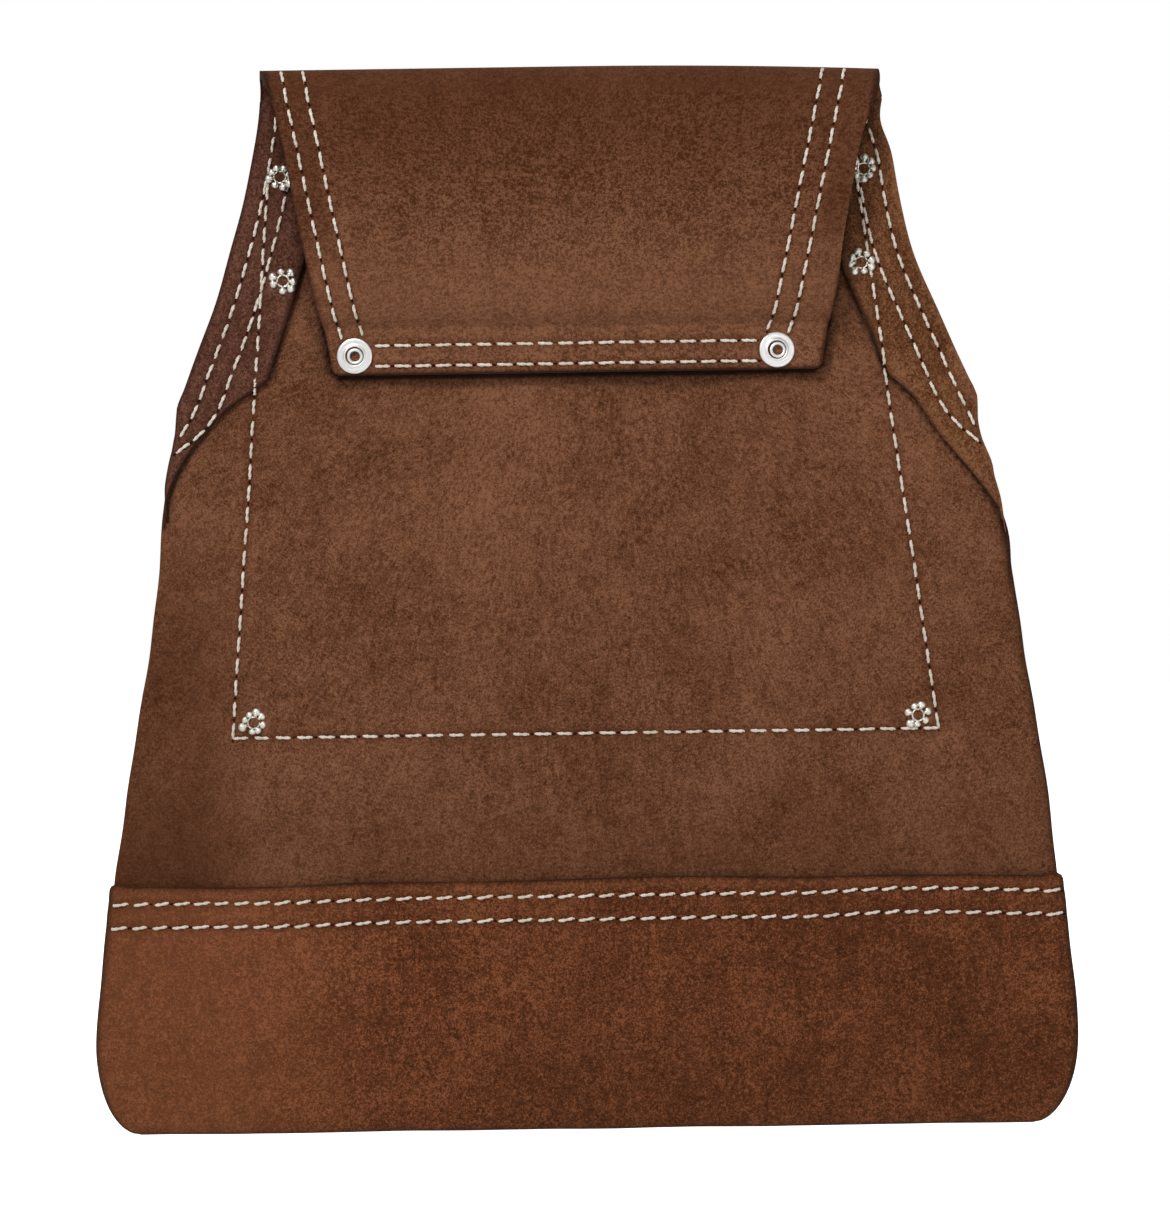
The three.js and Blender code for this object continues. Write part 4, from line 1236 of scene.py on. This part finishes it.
def lathe(profile, segments):
    # closed profile of (radius, height) turned round Z, in millimetres
    made = bmesh.new()
    loops = []
    for radius, height in profile:
        if radius < 1e-6:
            loops.append([made.verts.new((0, 0, height * 0.001))])
            continue
        loops.append([made.verts.new((radius * 0.001 * math.cos(a), radius * 0.001 * math.sin(a),
                                      height * 0.001))
                      for a in (2 * math.pi * i / segments for i in range(segments))])
    pairs = list(zip(loops[:-1], loops[1:]))
    if profile[0][0] > 1e-6 and profile[-1][0] > 1e-6:
        pairs.append((loops[-1], loops[0]))
    for low, high in pairs:
        for i in range(segments):
            j = (i + 1) % segments
            if len(low) == 1 and len(high) > 1:
                made.faces.new((low[0], high[i], high[j]))
            elif len(high) == 1 and len(low) > 1:
                made.faces.new((low[i], high[0], low[j]))
            elif len(low) > 1:
                made.faces.new((low[i], high[i], high[j], low[j]))
    bmesh.ops.recalc_face_normals(made, faces=made.faces)
    for found in made.faces:
        found.smooth = True
    mesh = bpy.data.meshes.new("turned")
    made.to_mesh(mesh)
    made.free()
    return mesh


def arc(centreR, centreH, radius, fromDegrees, toDegrees, count):
    turns = np.radians(np.linspace(fromDegrees, toDegrees, count))
    return [(centreR + radius * math.cos(t), centreH + radius * math.sin(t)) for t in turns]


# In each rivet's own frame Z points at the wearer and its origin is on the leather's face.
towardsWearer = Matrix.Rotation(math.radians(90), 4, "X")


def placeRivet(piece, x, y, z, tilt=(0.0, 0.0)):
    spot = toFrame([[x, y, z]])[0]
    lean = Matrix.Rotation(tilt[0], 4, "X") @ Matrix.Rotation(tilt[1], 4, "Z")
    piece.data.transform(Matrix.Translation(Vector(spot)) @ lean @ towardsWearer)
    piece.data.update()


def darkenHollow(piece, radius):
    # the inside of the clinched tube is tarnished
    piece.data.materials.append(hollowSteel)
    last = len(piece.data.materials) - 1
    for found in piece.data.polygons:
        if math.hypot(found.center.x, found.center.y) < radius * 0.001 and found.center.z > -0.002:
            found.material_index = last


def burstRivet(name, node, seed):
    low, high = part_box(node)
    aside, up = burst["handSet"].get(node.replace("_rivet", ""), (0.0, 0.0))
    x = (low.x + high.x) * 500 + aside
    z = (low.z + high.z) * 500 - originShift[2] + up
    through = (high.y - low.y) * 1000 - 1.5
    face = float(faceOnBack(np.array([x]), np.array([z]))[0]) - grooveDepth * 0.75
    tube = burst["hollow"]
    profile = [(0.0, -through - 1.1), (2.6, -through - 0.85), (4.1, -through - 0.3),
               (4.5, -through + 0.1), (4.4, -through + 0.25), (1.8, -through + 0.25), (1.8, -0.3)]
    profile += arc(tube - 0.2, -0.1, 0.3, 20, 160, 5) + [(tube - 0.5, -1.3), (0.0, -1.4)]
    sizes = {"Reach": burst["reach"], "Hollow": burst["hollow"], "Rise": burst["rise"],
             "Petal Radius": burst["petalRadius"], "Bead Radius": burst["beadRadius"]}
    values = {label: size * 0.001 for label, size in sizes.items()}
    values |= {"Petals": burst["petals"] - (seed % 3 == 0), "Seed": seed, "Steel": burstSteel}
    piece = runTree(name, lathe(profile, 24), petalTree, values)
    piece.data.transform(Matrix.Rotation(seed * 1.7, 4, "Z"))
    darkenHollow(piece, burst["hollow"] - 0.3)
    placeRivet(piece, x, face, z)
    finish(piece, [node])


for sideName, _ in sides:
    for index, label in enumerate(("upper", "second", "corner")):
        burstRivet(sideName + label.capitalize() + "Rivet", sideName + "_" + label + "_rivet",
                   seed=(2 if sideName == "left" else 31) + index * 7)


burrTilts = {"left": (0.05, -0.04), "right": (-0.05, 0.07)}


def tunnelRivet(name):
    x, z = tunnelPlaces[name]
    face = tunnelRivets[name][1].y * 1000 - originShift[1] + hide["gap"] * 0.5
    washer = [(2.6, -0.1), (burrRadius - 0.5, -0.1)]
    washer += arc(burrRadius - 0.4, 0.35, 0.42, -70, 80, 6)
    washer += [(burrRadius - 1.1, 0.7), (3.5, 0.62)]
    washer += arc(3.0, 0.6, 0.36, 20, 190, 7)
    burr = addObject(name + "Burr", lathe(washer, 56))
    burr.data.materials.append(burrSteel)
    placeRivet(burr, x, face, z, burrTilts[name])
    finish(burr, [name + "_burr"])
    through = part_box(name + "_tunnel_rivet")[1].y * 1000 - originShift[1] - face
    profile = [(0.0, -through), (2.6, -through + 0.2), (4.2, -through + 0.7),
               (4.5, -through + 1.2), (1.8, -through + 1.3), (1.8, 0.5)]
    profile += arc(1.9, 0.95, 0.46, -110, 190, 12)
    profile += [(1.42, 0.5), (1.35, -0.6), (0.0, -0.8)]
    rivet = addObject(name + "TunnelRivet", lathe(profile, 40))
    rivet.data.materials.append(burrSteel)
    darkenHollow(rivet, 1.4)
    placeRivet(rivet, x + 0.15, face, z - 0.12, burrTilts[name])
    finish(rivet, [name + "_tunnel_rivet"])


for sideName, _ in sides:
    tunnelRivet(sideName)
print("rivets made")


# The closing seam keeps the mesh of the CAD part.

closing = nodes["closing_seam_thread"]
closing.data.materials.clear()
closing.data.materials.append(threadLook)


# Stage, lights and camera.

view = {
    "tallness": 1.1605,   # the view's height over the object's
    "centreRight": 1.5,
    "centreUp": 150.4,
    "roll": 0.85,
    "lens": 85,
    "sensor": 36,
}


def stageFloor():
    made = bmesh.new()
    bmesh.ops.create_grid(made, x_segments=2, y_segments=2, size=6)
    mesh = bpy.data.meshes.new("floor")
    made.to_mesh(mesh)
    made.free()
    floor = addObject("floor", mesh)
    floor.location.z = cadLow.z - 0.03
    material, w, shader = newMaterial("paleFloor")
    seen = w.add("ShaderNodeLightPath").outputs["Is Camera Ray"]
    w.fill(shader, {"Base Color": (0.86, 0.86, 0.86, 1), "Roughness": 0.9, "Emission Color": (1, 1, 1, 1),
                    "Emission Strength": w.spread(seen, 0, 1, 0.1, 1.0)})
    mesh.materials.append(material)


def studioLight(name, place, target, size, power, color=(1, 1, 1)):
    data = bpy.data.lights.new(name, "AREA")
    data.shape = "RECTANGLE"
    data.size, data.size_y = size
    data.energy = power
    data.color = color
    lamp = bpy.data.objects.new(name, data)
    bpy.context.scene.collection.objects.link(lamp)
    lamp.location = place
    lamp.rotation_euler = (Vector(target) - Vector(place)).to_track_quat("-Z", "Y").to_euler()


def studioWorld():
    world = bpy.data.worlds.new("studio")
    bpy.context.scene.world = world
    world.use_nodes = True
    w = Wiring(world.node_tree)
    seen = w.add("ShaderNodeLightPath").outputs["Is Camera Ray"]
    w.fill(world.node_tree.nodes["Background"],
           {"Color": (1, 1, 1, 1), "Strength": w.spread(seen, 0, 1, 0.34, 1.0)})


def addCamera():
    data = bpy.data.cameras.new("camera")
    data.lens = view["lens"]
    data.sensor_width = view["sensor"]
    camera = bpy.data.objects.new("camera", data)
    bpy.context.scene.collection.objects.link(camera)
    height = view["tallness"] * (cadHigh.z - cadLow.z)
    distance = height / 2 / (view["sensor"] / 2 / view["lens"])
    aim = toFrame([[view["centreRight"], 0, view["centreUp"]]])[0]
    camera.matrix_world = (Matrix.Translation(Vector((aim[0], aim[1] - distance, aim[2])))
                           @ Matrix.Rotation(math.radians(90), 4, "X")
                           @ Matrix.Rotation(math.radians(-view["roll"]), 4, "Z"))
    bpy.context.scene.camera = camera


stageFloor()
studioWorld()
studioLight("key", (-0.4, -0.85, 0.62), (0, 0, -0.12), (0.22, 0.22), 6.3)
studioLight("fill", (0.6, -1.0, -0.1), (0, 0, -0.12), (0.7, 0.7), 2.2)
studioLight("above", (0.0, -0.1, 1.0), (0, 0, -0.1), (1.2, 1.2), 2.0)
studioLight("behind", (0.2, 1.2, 0.4), (0, 0, -0.1), (1.0, 1.0), 5.0)
addCamera()
bpy.context.scene.view_settings.view_transform = "Standard"
bpy.context.scene.view_settings.look = "None"
print("stage, lights and camera set")
